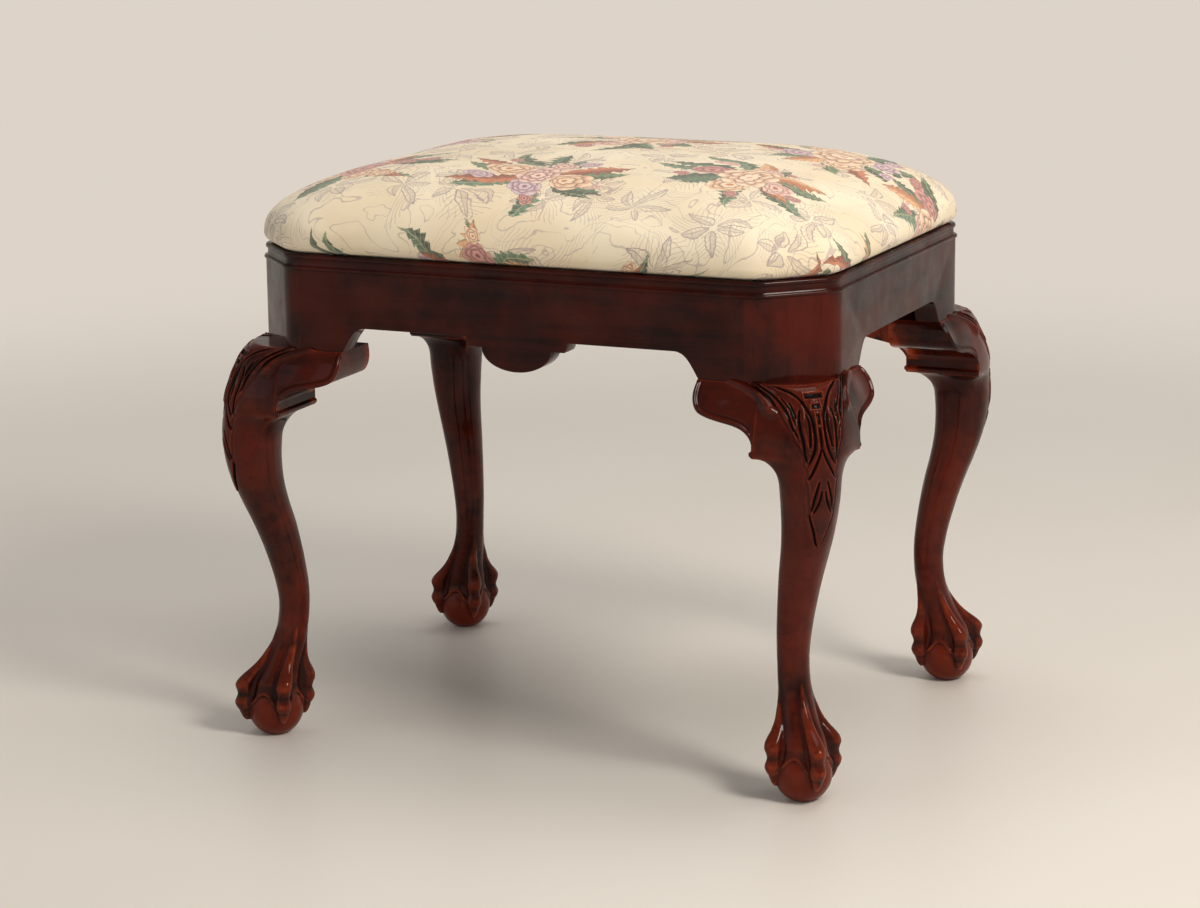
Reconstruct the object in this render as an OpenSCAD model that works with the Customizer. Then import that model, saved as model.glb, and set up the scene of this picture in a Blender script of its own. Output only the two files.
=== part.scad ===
// Upholstered stool with four cabriole legs, claw-and-ball feet and a drop-in seat.
// X runs along the long rails, Y along the short rails, and the front is at -Y.
// The origin is on the floor, midway between the feet.
// Each corner is drawn once, at the front left, and mirrored to the other three.
// There, x is measured from the short rail's outer face and y from the long rail's.

/* [Frame] */
// Length of the frame over the short rails' outer faces
frame_w = 545; // [500:1:600]
// Depth of the frame over the long rails' outer faces
frame_d = 425; // [390:1:470]
// Height of the shelf on top of each knee, which the rail ends come down to
knee_h = 360.5; // [345:0.5:375]
// Height of the rails and posts above that shelf
post_h = 70.5; // [66:0.5:76]
// Thickness of the rails
rail_t = 22; // [20:0.5:24]
// Length of the flat cut across each corner, measured along the rails
corner_cant = 52; // [49:0.5:55]
// Radius on the two upright edges of each cut corner
corner_edge_r = 13; // [12:0.5:15]
// Width of each leg's post between the rails
post_w = 64; // [62:0.5:68]

/* [Rail shaping] */
// How far the straight lower edge of each rail stands above the knee shelf
rail_rise = 22; // [16:0.5:28]
// Distance from the frame's corner to the foot of the curve that ends the straight edge
curve_foot = 105; // [98:0.5:112]
// Length of that curve along the rail
curve_w = 23; // [18:0.5:28]
// Depth of the drop at the middle of the long rails, below the straight edge
drop_h = 28.3; // [22:0.5:34]
// Depth of the small step at the head of the drop
drop_step_h = 8.5; // [5:0.5:12]
// Width of the drop over its steps
drop_w = 96; // [84:1:110]
// Width of the rounded lobe of the drop
drop_lobe_w = 65; // [54:1:72]

/* [Legs] */
// How far the inner sides of each leg stand in from the rails' faces, under the shelf
leg_block = 48; // [46:0.5:50]
// Width of the leg at the knee
knee_d = 50; // [46:0.5:54]
// Width of the leg at the ankle
ankle_d = 27.6; // [25:0.5:32]
// Distance of the leg's centre from both rail faces at the knee
knee_in = 7.8; // [5:0.2:11]
// Distance of the leg's centre from both rail faces at the ankle
ankle_in = 31.5; // [28:0.5:35]
// How far the knee stands out past the frame's corner lines, along the diagonal
knee_out = 13; // [10:0.5:16]
// How far the shoulder of the knee stands out past the rail faces
shoulder_out = 21.5; // [18:0.5:24]
// Distance of the centre of the shoulder's rounded corner from both rail faces
shoulder_in = 40; // [37:0.5:43]

/* [Feet] */
// Height at which the foot runs into the ankle
foot_h = 86; // [80:0.5:92]
// Distance of the foot's centre from both rail faces
foot_in = 17; // [14:0.5:20]
// Diameter of the ball
ball_d = 50; // [46:0.5:54]
// Height of the ball's centre above the floor
ball_h = 23; // [21:0.5:25]
// Diameter of the flat that the ball stands on
ball_flat_d = 20; // [16:0.5:26]
// Reach of each toe's knuckles from the foot's centre
toe_reach = 37.5; // [35:0.5:40]
// Width of each toe
toe_w = 15; // [13:0.5:17]

/* [Knee blocks] */
// Height of the knee blocks below the shelf
ear_h = 59.5; // [56:0.5:63]

/* [Moulding] */
// Height of the moulding that stands on the rails
moulding_h = 14; // [12:0.5:16]
// Width of the moulding at its foot
moulding_t = 9.5; // [8:0.5:11]
// How far the moulding's lower bead stands proud of the rails
bead_out = 1.5; // [0.5:0.5:2.5]

/* [Inside the frame] */
// Length of the tenon on each rail end
tenon_l = 15; // [12:0.5:16]
// Thickness of the rail tenons
tenon_t = 9; // [7:0.5:10]
// Width of the flat across the inner corner of each post, measured along the rails
post_flat = 24; // [20:0.5:28]
// Height of the corner blocks
block_h = 40; // [30:1:50]
// Length of each corner block's glued faces
block_l = 40; // [36:1:50]
// Diameter of the corner block screws
screw_d = 4.5; // [4:0.5:6]
// Diameter of the screw heads
screw_head_d = 8.6; // [8:0.2:10]
// How far the screws go into the rails
screw_bite = 13; // [10:0.5:15]

/* [Seat] */
// Height of the seat's widest line above the top of the rails
seat_wide_h = 26.5; // [23:0.5:32]
// Height of the crown of the seat above its widest line
crown_h = 59.5; // [45:0.5:75]
// How far the seat swells past the rail faces
seat_out = 4; // [1:0.5:8]
// Thickness of the cover cloth
cover_t = 1.2; // [0.8:0.1:1.6]
// Width of the cover's turned edge under the seat boards
cover_turn = 17; // [14:0.5:20]
// Thickness of the seat boards
seat_board_t = 15; // [14:0.5:15.5]
// Width of the seat boards
seat_board_w = 52; // [46:1:60]
// Length of the tenons on the short seat boards
seat_tenon_l = 20; // [14:1:24]
// Width of a strip of webbing
web_w = 48; // [40:1:52]
// Thickness of a strip of webbing
web_t = 1.2; // [0.8:0.1:1.6]
// Thickness of the hessian over the webbing
hessian_t = 0.8; // [0.6:0.1:1]
// Thickness of the dust cloth
dust_t = 0.8; // [0.6:0.1:1]
// Diameter of the tack heads
tack_head_d = 8; // [6:0.5:9]
// Length of the tacks under the head
tack_l = 9; // [7:0.5:11]

/* [Hidden] */

$fn = 48;
mahogany = [0.30, 0.10, 0.07];
inner_wood = [0.72, 0.58, 0.40];
jute = [0.66, 0.56, 0.40];
printed_cloth = [0.89, 0.84, 0.72];
foam = [0.90, 0.86, 0.66];
black_cloth = [0.12, 0.12, 0.13];
steel = [0.60, 0.60, 0.62];

// Overrun of cutting tools past the faces that they open
overrun = 1;
// Slack between a tenon and its mortise, all round
tenon_gap = 0.2;
// Slack round the shank of a screw or tack
shank_gap = 0.1;
// Steps along one freely drawn curve
curve_steps = 6;

function lerp(a, b, t) = a + (b - a) * t;
function bezier(p0, p1, p2, p3, n) =
    [for (i = [1:n]) let (t = i / n, s = 1 - t)
        s * s * s * p0 + 3 * s * s * t * p1 + 3 * s * t * t * p2 + t * t * t * p3];
function mirrored(points) = [for (i = [len(points) - 1:-1:0]) [-points[i][0], points[i][1]]];
function scaled(points, size) = [for (p = points) [p[0] * size[0], p[1] * size[1]]];
function moved(points, by) = [for (p = points) p + by];

// Triangles that join rings of n points, stacked in order and closed at both ends.
// The ends' triangles all meet at point number first, so it stands off any straight side
function ring_faces(n, rings, first) = concat(
    [[for (j = [0:n - 1]) (first + j) % n]],
    [for (i = [0:rings - 2], j = [0:n - 1])
        [i * n + j, (i + 1) * n + j, i * n + (j + 1) % n]],
    [for (i = [0:rings - 2], j = [0:n - 1])
        [i * n + (j + 1) % n, (i + 1) * n + j, (i + 1) * n + (j + 1) % n]],
    [[for (j = [n - 1:-1:0]) (rings - 1) * n + (first + j) % n]]);

module stacked(rings, first) {
    n = len(rings[0]);
    polyhedron(points = [for (ring = rings) each ring], faces = ring_faces(n, len(rings), first));
}

// Moves a corner's parts to one of the four corners of the frame
module at_corner(right, back) {
    mirror([right, 0, 0])
        mirror([0, back, 0])
            translate([-frame_w / 2, -frame_d / 2, 0])
                children();
}

// Turns a piece made for the long rail's side of a corner to the short rail's side
module short_side() {
    mirror([1, -1, 0])
        children();
}

// Extrudes a section drawn in y and z along x
module along_x(length) {
    rotate([90, 0, 90])
        linear_extrude(length)
            children();
}

// Legs: each ring has 32 points at fixed bearings, closer together at the four toes
toe_steps = [-45, -21, -14, -7, 0, 7, 14, 21];
bearings = [for (toe = [135, 225, 315, 405], step = toe_steps) toe + step];
outer_corner = search(225, bearings)[0];
shoulder_h = knee_h - ear_h;
rail_top_h = knee_h + post_h;

function polar(c, r, a) = [c + r * cos(a), c + r * sin(a)];
// Reach of a rounded square of half width h; it is a circle where square is 2
function square_reach(h, square, a) =
    h / pow(pow(abs(cos(a)), square) + pow(abs(sin(a)), square), 1 / square);
function at_height(ring, z) = [for (p = ring) [p[0], p[1], z]];

// Shaft rows: height from foot_h to shoulder_h, centre from knee_in to ankle_in,
// and width from ankle_d to knee_d
shaft_shares = [
    [0, 0.83, 0.07], [0.04, 0.90, 0.035], [0.08, 0.955, 0.01], [0.12, 0.985, 0],
    [0.17, 1, 0.01], [0.25, 0.955, 0.09], [0.34, 0.84, 0.195], [0.43, 0.69, 0.315],
    [0.52, 0.51, 0.45], [0.61, 0.295, 0.58], [0.70, 0.12, 0.73], [0.79, 0.025, 0.88],
    [0.87, 0, 1], [0.94, 0.03, 1.07], [1, 0.08, 1.11]];
shaft_centre_shares = [for (row = shaft_shares) [row[0], row[1]]];
shaft_width_shares = [for (row = shaft_shares) [row[0], row[2]]];
// Heights of the shaft's rings, closer together in the hollow under the shoulder
ring_shares = [0.04, 0.08, 0.12, 0.17, 0.25, 0.34, 0.43, 0.52, 0.61, 0.70, 0.79, 0.86,
               0.905, 0.935, 0.958, 0.978, 0.991, 1];
knee_square = 2.35;
// Height of the hollow under the shoulder
hollow_h = 24;

function shaft_centre(t) = lerp(knee_in, ankle_in, lookup(t, shaft_centre_shares));
function shaft_ring(t) =
    let (share = lookup(t, shaft_width_shares),
         c = shaft_centre(t),
         h = lerp(ankle_d, knee_d, share) / 2,
         square = lerp(2, knee_square, share))
    [for (a = bearings) polar(c, square_reach(h, square, a), a)];

// Shoulder rows: height over ear_h, reach past the faces over shoulder_out,
// and reach past the corner along the diagonal over knee_out
shoulder_shares = [
    [0, 0.98, 1], [0.15, 1, 0.92], [0.29, 0.95, 0.77], [0.42, 0.86, 0.54],
    [0.55, 0.745, 0.32], [0.67, 0.63, 0.04], [0.79, 0.49, -0.23], [0.875, 0.35, -0.50],
    [0.94, 0.21, -0.77], [0.983, 0.095, -1.08], [1, 0.047, -1.26]];

// The shoulder is round outside and has two flat sides, which the knee blocks meet
function shoulder_ring(row) =
    let (h = shoulder_in + shoulder_out * row[1],
         diagonal = shoulder_in * sqrt(2) + knee_out * row[2],
         square = ln(2) / ln(h * sqrt(2) / diagonal),
         side = leg_block - shoulder_in,
         face = pow(pow(h, square) - pow(side, square), 1 / square),
         half_turn = 45 + atan(side / face),
         edge = shoulder_in - face)
    [for (a = bearings)
        let (b = 225 + (a - 225) * half_turn / 90)
        a < 135 ? [lerp(leg_block, edge, (a - 45) / 90), leg_block]
        : a <= 315 ? polar(shoulder_in, square_reach(h, square, b), b)
        : a <= 405 ? [leg_block, lerp(edge, leg_block, (a - 315) / 90)]
        : [lerp(leg_block, edge, (a - 405) / 90), leg_block]];

function leg_ring(t) =
    let (start = 1 - hollow_h / (shoulder_h - foot_h),
         x = max(0, (t - start) / (1 - start)),
         blend = 1 - sqrt(1 - x * x),
         shaft = shaft_ring(t),
         shoulder = shoulder_ring(shoulder_shares[0]))
    [for (i = [0:len(bearings) - 1]) lerp(shaft[i], shoulder[i], blend)];

// Foot rows: height over foot_h, toe reach over toe_reach, toe width over toe_w,
// web reach over the ball's radius, and centre from foot_in to the foot of the shaft
foot_shares = [
    [0, 0, 0, 0, 0], [0.035, 0, 0, 0, 0], [0.09, 0, 0, 0, 0], [0.155, 0, 0, 0, 0],
    [0.19, 0.735, 0.72, 0, 0], [0.235, 0.80, 0.82, 0, 0], [0.28, 0.85, 0.85, 0, 0],
    [0.305, 0.955, 1, 0, 0], [0.366, 1, 1, 0, 0], [0.44, 0.935, 0.95, 0, 0],
    [0.49, 0.945, 0.95, 0.84, 0], [0.58, 0.985, 1, 0.84, 0.04],
    [0.63, 0.95, 1, 0.82, 0.12], [0.70, 0.775, 0.95, 0.76, 0.29],
    [0.79, 0.60, 0.90, 0.69, 0.51], [0.90, 0.475, 0.85, 0.63, 0.78]];
// Reach of the side toes beside that of the front and back toes
side_toe_share = 0.95;
// Height of the web's edge midway between two toes, over the ball's height
web_edge_share = 1.7;
// Height of the web's edge beside a toe, over the same height
web_low_share = 1.15;
// How far the web stands out from the ball
web_over = 1.6;

function ball_reach(z) =
    z < ball_h
    ? lerp(ball_flat_d / 2, ball_d / 2, sqrt(1 - pow(1 - z / ball_h, 2)))
    : sqrt(max(0, pow(ball_d / 2, 2) - pow(z - ball_h, 2)));
function toe_edge(reach, width, step) =
    let (c = reach - width / 2, aside = c * sin(step))
    reach > 0 && abs(aside) < width / 2
    ? c * cos(step) + sqrt(pow(width / 2, 2) - aside * aside)
    : 0;
function foot_ring(row) =
    let (z = foot_h * row[0],
         c = lerp(foot_in, shaft_centre(0), row[4]),
         ball = ball_reach(z))
    [for (i = [0:len(bearings) - 1])
        let (step = toe_steps[i % 8],
             along = floor(i / 8) % 2 == 1 ? 1 : side_toe_share,
             toe = toe_edge(toe_reach * along * row[1], toe_w * row[2], step),
             edge_share = lerp(web_low_share, web_edge_share, (abs(step) - 21) / 24),
             web = z >= ball_h * edge_share ? max(ball + web_over, row[3] * ball_d / 2) : 0)
        polar(c, max(ball, toe, web), bearings[i])];

leg_rings = concat(
    [for (row = foot_shares) at_height(foot_ring(row), foot_h * row[0])],
    [at_height(leg_ring(0), foot_h)],
    [for (t = ring_shares) at_height(leg_ring(t), lerp(foot_h, shoulder_h, t))],
    [for (i = [1:len(shoulder_shares) - 1])
        let (row = shoulder_shares[i])
        at_height(shoulder_ring(row), shoulder_h + ear_h * row[0])]);

// Corner posts
edge_tangent = corner_edge_r * tan(22.5);
// How far the post is let into the knee, and the place of that inner core
post_sink = 6;
core_share = 0.32;
// Width of the tenons' inner shoulders
tenon_back = 3.5;
tenon_in = rail_t - tenon_t - tenon_back;
// Width of the tenons' lower and upper shoulders
tenon_low = 10;
tenon_high = 14;

module post_section() {
    c = corner_cant;
    e = edge_tangent;
    intersection() {
        square(post_w);
        union() {
            polygon([[post_w, 0], [c + e, 0], [c - e / sqrt(2), e / sqrt(2)],
                     [e / sqrt(2), c - e / sqrt(2)], [0, c + e], [0, post_w],
                     [post_w - post_flat, post_w], [post_w, post_w - post_flat]]);
            intersection() {
                translate([c + e, corner_edge_r])
                    circle(corner_edge_r);
                square([c + e, corner_edge_r]);
            }
            intersection() {
                translate([corner_edge_r, c + e])
                    circle(corner_edge_r);
                square([corner_edge_r, c + e]);
            }
        }
    }
}

module mortise() {
    low = knee_h + tenon_low - tenon_gap;
    high = rail_top_h - tenon_high + tenon_gap;
    translate([post_w - tenon_l - tenon_gap, tenon_in - tenon_gap, low])
        cube([tenon_l + tenon_gap + overrun, tenon_t + 2 * tenon_gap, high - low]);
}

module leg() {
    core = leg_block * core_share;
    core_w = leg_block * (1 - core_share) - overrun;
    difference() {
        union() {
            stacked(leg_rings, outer_corner);
            translate([core, core, knee_h - post_sink])
                cube([core_w, core_w, post_sink + overrun]);
            translate([0, 0, knee_h])
                linear_extrude(rail_top_h - knee_h)
                    post_section();
        }
        mortise();
        short_side()
            mortise();
    }
}

// Knee blocks: the scroll is sawn through, and the face follows the leg's shoulder
ear_l = curve_foot - leg_block;
ear_tip_shares = bezier([1, 1], [1.05, 0.80], [1.0, 0.62], [0.88, 0.565], curve_steps);
ear_curve_shares = bezier([0.88, 0.565], [0.68, 0.47], [0.36, 0.47], [0.20, 0.39], curve_steps);
ear_hollow_shares = bezier([0.20, 0.39], [0.10, 0.34], [0.01, 0.24], [0.015, 0.14], curve_steps);
ear_lip_shares = bezier([0.015, 0.14], [0.02, 0.08], [0.09, 0.11], [0.06, 0.03], curve_steps);
ear_shares = concat([[0, 1], [1, 1]], ear_tip_shares, ear_curve_shares, ear_hollow_shares,
                    ear_lip_shares, [[0, 0]]);

module knee_block() {
    outline = moved(scaled(ear_shares, [ear_l, ear_h]), [leg_block, shoulder_h]);
    face = [for (row = shoulder_shares) [-shoulder_out * row[1], shoulder_h + ear_h * row[0]]];
    last = len(face) - 1;
    intersection() {
        translate([0, leg_block, 0])
            rotate([90, 0, 0])
                linear_extrude(leg_block + shoulder_out + overrun)
                    polygon(outline);
        translate([leg_block - overrun, 0, 0])
            along_x(ear_l * 1.1 + overrun)
                polygon(concat(
                    [[leg_block + overrun, shoulder_h - overrun], [face[0][0], shoulder_h - overrun]],
                    face,
                    [[face[last][0], knee_h + overrun], [leg_block + overrun, knee_h + overrun]]));
    }
}

// Rails, drawn at the front with their middle at x = 0
curve_shares = bezier([0, 0], [0.35, 0.62], [0.50, 1], [1, 1], curve_steps);
// Width of the sloped end of the drop's step, over the step's depth
step_end_share = 0.3;
lobe_steps = 10;
// Height of the screws, at the middle of the corner blocks
block_top = rail_top_h - tenon_high;
screw_z = block_top - block_h / 2;
screw_u = post_w + block_l / 2;

function half_outline(half, drop) =
    let (low = knee_h + rail_rise,
         foot = half - curve_foot,
         step_z = low - drop_step_h,
         lobe_h = drop_h - drop_step_h)
    concat(
        drop
        ? concat(
            [for (i = [0:lobe_steps])
                let (a = 90 * i / lobe_steps)
                [drop_lobe_w / 2 * sin(a), step_z - lobe_h * cos(a)]],
            [[drop_w / 2 - drop_step_h * step_end_share, step_z], [drop_w / 2, low]])
        : [[0, low]],
        [for (i = [curve_steps - 1:-1:0])
            [foot - curve_w * curve_shares[i][0], knee_h + rail_rise * curve_shares[i][1]]],
        [[foot, knee_h], [half - post_w, knee_h], [half - post_w, rail_top_h]]);

module rail(half, across, drop) {
    right = half_outline(half, drop);
    low = knee_h + tenon_low;
    difference() {
        union() {
            translate([0, -across + rail_t, 0])
                rotate([90, 0, 0])
                    linear_extrude(rail_t)
                        polygon(concat(right, mirrored(right)));
            for (end = [-1, 1])
                translate([end * (half - post_w + (tenon_l - overrun) / 2), -across + tenon_in + tenon_t / 2,
                           (low + rail_top_h - tenon_high) / 2])
                    cube([tenon_l + overrun, tenon_t, rail_top_h - tenon_high - low], center = true);
        }
        for (end = [-1, 1])
            translate([end * (half - screw_u), -across + rail_t - screw_bite - shank_gap, screw_z])
                rotate([-90, 0, 0])
                    cylinder(d = screw_d + 2 * shank_gap, h = screw_bite + shank_gap + overrun);
    }
}

module long_rail() {
    rail(frame_w / 2, frame_d / 2, true);
}

module short_rail() {
    rotate([0, 0, -90])
        rail(frame_d / 2, frame_w / 2, false);
}

// Moulding: a bead at the foot, a hollow, and a bead at the top
moulding_shares = concat(
    [[0, 0]],
    bezier([0, 0], [-1.35, 0.02], [-1.35, 0.24], [0, 0.25], curve_steps));
hollow_shares = bezier([0.10, 0.25], [0.20, 0.36], [0.22, 0.52], [0.16, 0.68], curve_steps);
top_bead_shares = bezier([0.16, 0.68], [-0.08, 0.72], [-0.02, 0.99], [0.22, 1], curve_steps);
moulding_outline = concat(
    scaled(moulding_shares, [bead_out, moulding_h]),
    [[moulding_t * 0.10, moulding_h * 0.25]],
    scaled(hollow_shares, [moulding_t, moulding_h]),
    scaled(top_bead_shares, [moulding_t, moulding_h]),
    [[moulding_t, moulding_h], [moulding_t, 0]]);

module moulding_run(length) {
    translate([moulding_end, 0, rail_top_h])
        along_x(length - 2 * moulding_end)
            polygon(moulding_outline);
}

// The corner piece is where the mouldings of three sides meet, mitred, less what they enclose
moulding_face = [for (i = [0:len(moulding_outline) - 3]) moulding_outline[i]];
moulding_end = corner_cant + edge_tangent;

module moulding_side() {
    translate([-moulding_end, 0, 0])
        along_x(3 * moulding_end)
            polygon(concat(moulding_face, [[2 * moulding_end, moulding_h], [2 * moulding_end, 0]]));
}

module moulding_corner() {
    c = corner_cant;
    t = moulding_t;
    turn = c + t * (sqrt(2) - 1);
    far = moulding_end + overrun;
    translate([0, 0, rail_top_h])
        difference() {
            intersection() {
                translate([-bead_out * 2, -bead_out * 2, 0])
                    cube([moulding_end + bead_out * 2, moulding_end + bead_out * 2, moulding_h]);
                moulding_side();
                short_side()
                    moulding_side();
                translate([c, 0, 0])
                    rotate([0, 0, 135])
                        mirror([0, 1, 0])
                            moulding_side();
            }
            translate([0, 0, -overrun])
                linear_extrude(moulding_h + 2 * overrun)
                    polygon([[turn, t], [far, t], [far, far], [t, far], [t, turn]]);
        }
}

// Corner blocks and their screws
// Depth of block left under each screw head
screw_grip = 12;
screw_head_h = 3;
// Slack round a screw head in its pocket
head_gap = 0.4;

module screw() {
    translate([screw_u, rail_t - screw_bite, screw_z])
        rotate([-90, 0, 0]) {
            cylinder(d = screw_d, h = screw_bite + screw_grip);
            translate([0, 0, screw_bite + screw_grip])
                cylinder(d1 = screw_head_d, d2 = screw_head_d * 0.7, h = screw_head_h);
        }
}

module screw_pocket() {
    translate([screw_u, rail_t - overrun, screw_z])
        rotate([-90, 0, 0]) {
            cylinder(d = screw_d + 2 * shank_gap, h = screw_grip + 2 * overrun);
            translate([0, 0, screw_grip + overrun])
                cylinder(d = screw_head_d + 2 * head_gap, h = block_l);
        }
}

module corner_block() {
    outer = post_w + block_l;
    difference() {
        translate([0, 0, block_top - block_h])
            linear_extrude(block_h)
                polygon([[post_w, rail_t], [outer, rail_t], [rail_t, outer], [rail_t, post_w],
                         [post_w - post_flat, post_w], [post_w, post_w - post_flat]]);
        screw_pocket();
        short_side()
            screw_pocket();
    }
}

module screw_pair() {
    screw();
    short_side()
        screw();
}

// Seat boards
// Slack between the cover and the moulding
seat_gap = 1;
// Slack between a piece and the cloth over it
cloth_gap = 0.3;
skirt_in = moulding_t + seat_gap;
board_in = skirt_in + cover_t + cloth_gap;
board_z = rail_top_h + cover_t;
board_top = board_z + seat_board_t;

// The frame's outline, its four corners cut off, moved inwards
module canted(inset) {
    a = frame_w / 2 - inset;
    b = frame_d / 2 - inset;
    cut = corner_cant - inset * (2 - sqrt(2));
    right = [[a - cut, -b], [a, cut - b], [a, b - cut], [a - cut, b]];
    polygon(concat(right, mirrored(right)));
}

// Place and size of the tenon on the end of a short seat board
seat_tenon_start_share = 0.40;
seat_tenon_w_share = 0.45;
seat_tenon_t_share = 0.40;

module seat_tenon(slack) {
    t = seat_board_t * seat_tenon_t_share + 2 * slack;
    translate([board_in + seat_board_w * seat_tenon_start_share - slack,
               board_in + seat_board_w - seat_tenon_l - slack,
               board_z + (seat_board_t - t) / 2])
        cube([seat_board_w * seat_tenon_w_share + 2 * slack, seat_tenon_l + slack + overrun, t]);
}

// Tacks through the dust cloth's edge
tack_in = 37;
tack_d = 1.8;
tack_head_h = 0.8;
tacks_long = 6;
tacks_short = 4;
// Distance of the first and last tack from the frame's corners
tack_margin = 100;

function row_places(length, count) =
    [for (i = [0:count - 1]) lerp(tack_margin - length / 2, length / 2 - tack_margin, i / (count - 1))];
tack_places = concat(
    [for (x = row_places(frame_w, tacks_long), side = [-1, 1]) [x, side * (frame_d / 2 - tack_in)]],
    [for (y = row_places(frame_d, tacks_short), side = [-1, 1]) [side * (frame_w / 2 - tack_in), y]]);

module tack_holes() {
    for (place = tack_places)
        translate([place[0], place[1], board_z - dust_t - overrun])
            cylinder(d = tack_d + 2 * shank_gap, h = dust_t + tack_l + overrun);
}

module long_seat_board() {
    difference() {
        translate([0, 0, board_z])
            linear_extrude(seat_board_t)
                intersection() {
                    canted(board_in);
                    translate([-frame_w / 2, board_in - frame_d / 2])
                        square([frame_w, seat_board_w]);
                }
        for (right = [0, 1])
            at_corner(right, 0)
                seat_tenon(tenon_gap);
        tack_holes();
    }
}

module short_seat_board() {
    length = frame_d - 2 * (board_in + seat_board_w);
    difference() {
        union() {
            translate([0, 0, board_z])
                linear_extrude(seat_board_t)
                    intersection() {
                        canted(board_in);
                        translate([board_in - frame_w / 2, -length / 2])
                            square([seat_board_w, length]);
                    }
            for (back = [0, 1])
                at_corner(0, back)
                    seat_tenon(0);
        }
        tack_holes();
    }
}

// Webbing, woven over and under
web_space_x = frame_w - 2 * (board_in + seat_board_w);
web_space_y = frame_d - 2 * (board_in + seat_board_w);
// How far each strip reaches over the boards
web_lap = 30;
// Pitch of the strips over their width, at least
web_pitch_share = 1.4;
// Length of the level part of a strip at each crossing, over a strip's width
web_flat_share = 1.12;
webs_long = floor(web_space_y / (web_w * web_pitch_share));
webs_cross = floor(web_space_x / (web_w * web_pitch_share));

function web_place(space, count, i) = space * ((i + 0.5) / count - 0.5);
function web_path(space, crossings, odd) =
    let (flat = web_w * web_flat_share / 2)
    concat(
        [[-space / 2 - web_lap, 0], [-space / 2, 0]],
        [for (j = [0:crossings - 1], side = [-1, 1])
            [web_place(space, crossings, j) + side * flat, web_t * ((j + odd) % 2)]],
        [[space / 2, 0], [space / 2 + web_lap, 0]]);
module web_strip(space, crossings, odd) {
    path = web_path(space, crossings, odd);
    back = [for (i = [len(path) - 1:-1:0]) path[i] + [0, web_t]];
    translate([0, web_w / 2, board_top])
        rotate([90, 0, 0])
            linear_extrude(web_w)
                polygon(concat(path, back));
}

// Pad and cover: rings round the seat, sharp at its corners below and soft above
// Bearings of a ring's points, two of which in each quarter are its outline's corners
function seat_bearings(inset) =
    let (cant_end = corner_cant + inset * (sqrt(2) - 1),
         short_edge = atan2(frame_d / 2 - cant_end, frame_w / 2 - inset),
         long_edge = atan2(frame_d / 2 - inset, frame_w / 2 - cant_end),
         quarter = [short_edge * 0.45, short_edge * 0.8, short_edge,
                    lerp(short_edge, long_edge, 0.33), lerp(short_edge, long_edge, 0.67),
                    long_edge, lerp(long_edge, 90, 0.2), lerp(long_edge, 90, 0.55)])
    concat(
        [0], quarter,
        [90], [for (i = [len(quarter) - 1:-1:0]) 180 - quarter[i]],
        [180], [for (a = quarter) 180 + a],
        [270], [for (i = [len(quarter) - 1:-1:0]) 360 - quarter[i]]);

// Reach of the canted outline at bearing a, its corners eased more as sharp falls
function seat_reach(inset, sharp, a) =
    let (x = abs(cos(a)) / (frame_w / 2 - inset),
         y = abs(sin(a)) / (frame_d / 2 - inset),
         cut = (frame_w + frame_d) / 2 - corner_cant - inset * sqrt(2),
         d = (abs(cos(a)) + abs(sin(a))) / cut,
         m = max(x, y, d))
    1 / (m * pow(pow(x / m, sharp) + pow(y / m, sharp) + pow(d / m, sharp), 1 / sharp));
function seat_ring(share, inset, z, sharp) =
    [for (a = seat_bearings(inset))
        let (r = share * seat_reach(inset, sharp, a))
        [r * cos(a), r * sin(a), z]];

seat_wide_z = rail_top_h + seat_wide_h;
// Height of the cloth where it leaves the top of the moulding
seat_lip_z = rail_top_h + moulding_h + cloth_gap;
sharp_corner = 3000;
wide_corner = 40;
crown_shares = [0.99, 0.965, 0.92, 0.84, 0.70, 0.50, 0.27, 0.06];
crown_side = 3;
crown_top = 2.2;

// Rings of the swell at a depth below the cloth's surface, up to its widest line.
// Angle a is 0 at the lip and 90 at the widest line
swell_steps = 5;
function swell_ring(depth, a) =
    let (out = skirt_in + seat_out - depth,
         drop = seat_wide_z - seat_lip_z - depth)
    seat_ring(1, skirt_in - out * sin(a), seat_wide_z - drop * cos(a),
              1 / lerp(1 / sharp_corner, 1 / wide_corner, a / 90));
function swell_rings(depth, first) =
    [for (i = [first:swell_steps]) swell_ring(depth, 90 * i / swell_steps)];
function crown_rings(depth) =
    [for (share = crown_shares)
        let (lift = pow(1 - pow(share, crown_side), 1 / crown_top))
        seat_ring(share, depth - seat_out, seat_wide_z + (crown_h - depth) * lift,
                  lerp(crown_top * 4, wide_corner, pow(share, 4)))];

module cover_shell() {
    skirt = [seat_ring(1, skirt_in + cover_turn, rail_top_h, sharp_corner),
             seat_ring(1, skirt_in, rail_top_h, sharp_corner)];
    inner_skirt = [seat_ring(1, skirt_in + cover_turn, board_z, sharp_corner),
                   seat_ring(1, skirt_in + cover_t, board_z, sharp_corner),
                   seat_ring(1, skirt_in + cover_t, seat_lip_z + cover_t, sharp_corner)];
    inner = concat(inner_skirt, swell_rings(cover_t, 0), crown_rings(cover_t));
    stacked(concat([for (i = [len(inner) - 1:-1:0]) inner[i]],
                   skirt, swell_rings(0, 0), crown_rings(0)), 0);
}

pad_z = board_top + 2 * web_t + hessian_t;
// Size of the round ring in the pad's flat underside, over the underside's
pad_ring_share = 0.6;

module pad_form() {
    depth = cover_t + cloth_gap;
    foot = acos((seat_wide_z - pad_z) / (seat_wide_z - seat_lip_z - depth));
    next = ceil(foot / 90 * swell_steps + 0.1);
    stacked(concat([seat_ring(pad_ring_share, 0, pad_z, crown_top), swell_ring(depth, foot)],
                   swell_rings(depth, next), crown_rings(depth)), 0);
}

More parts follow.
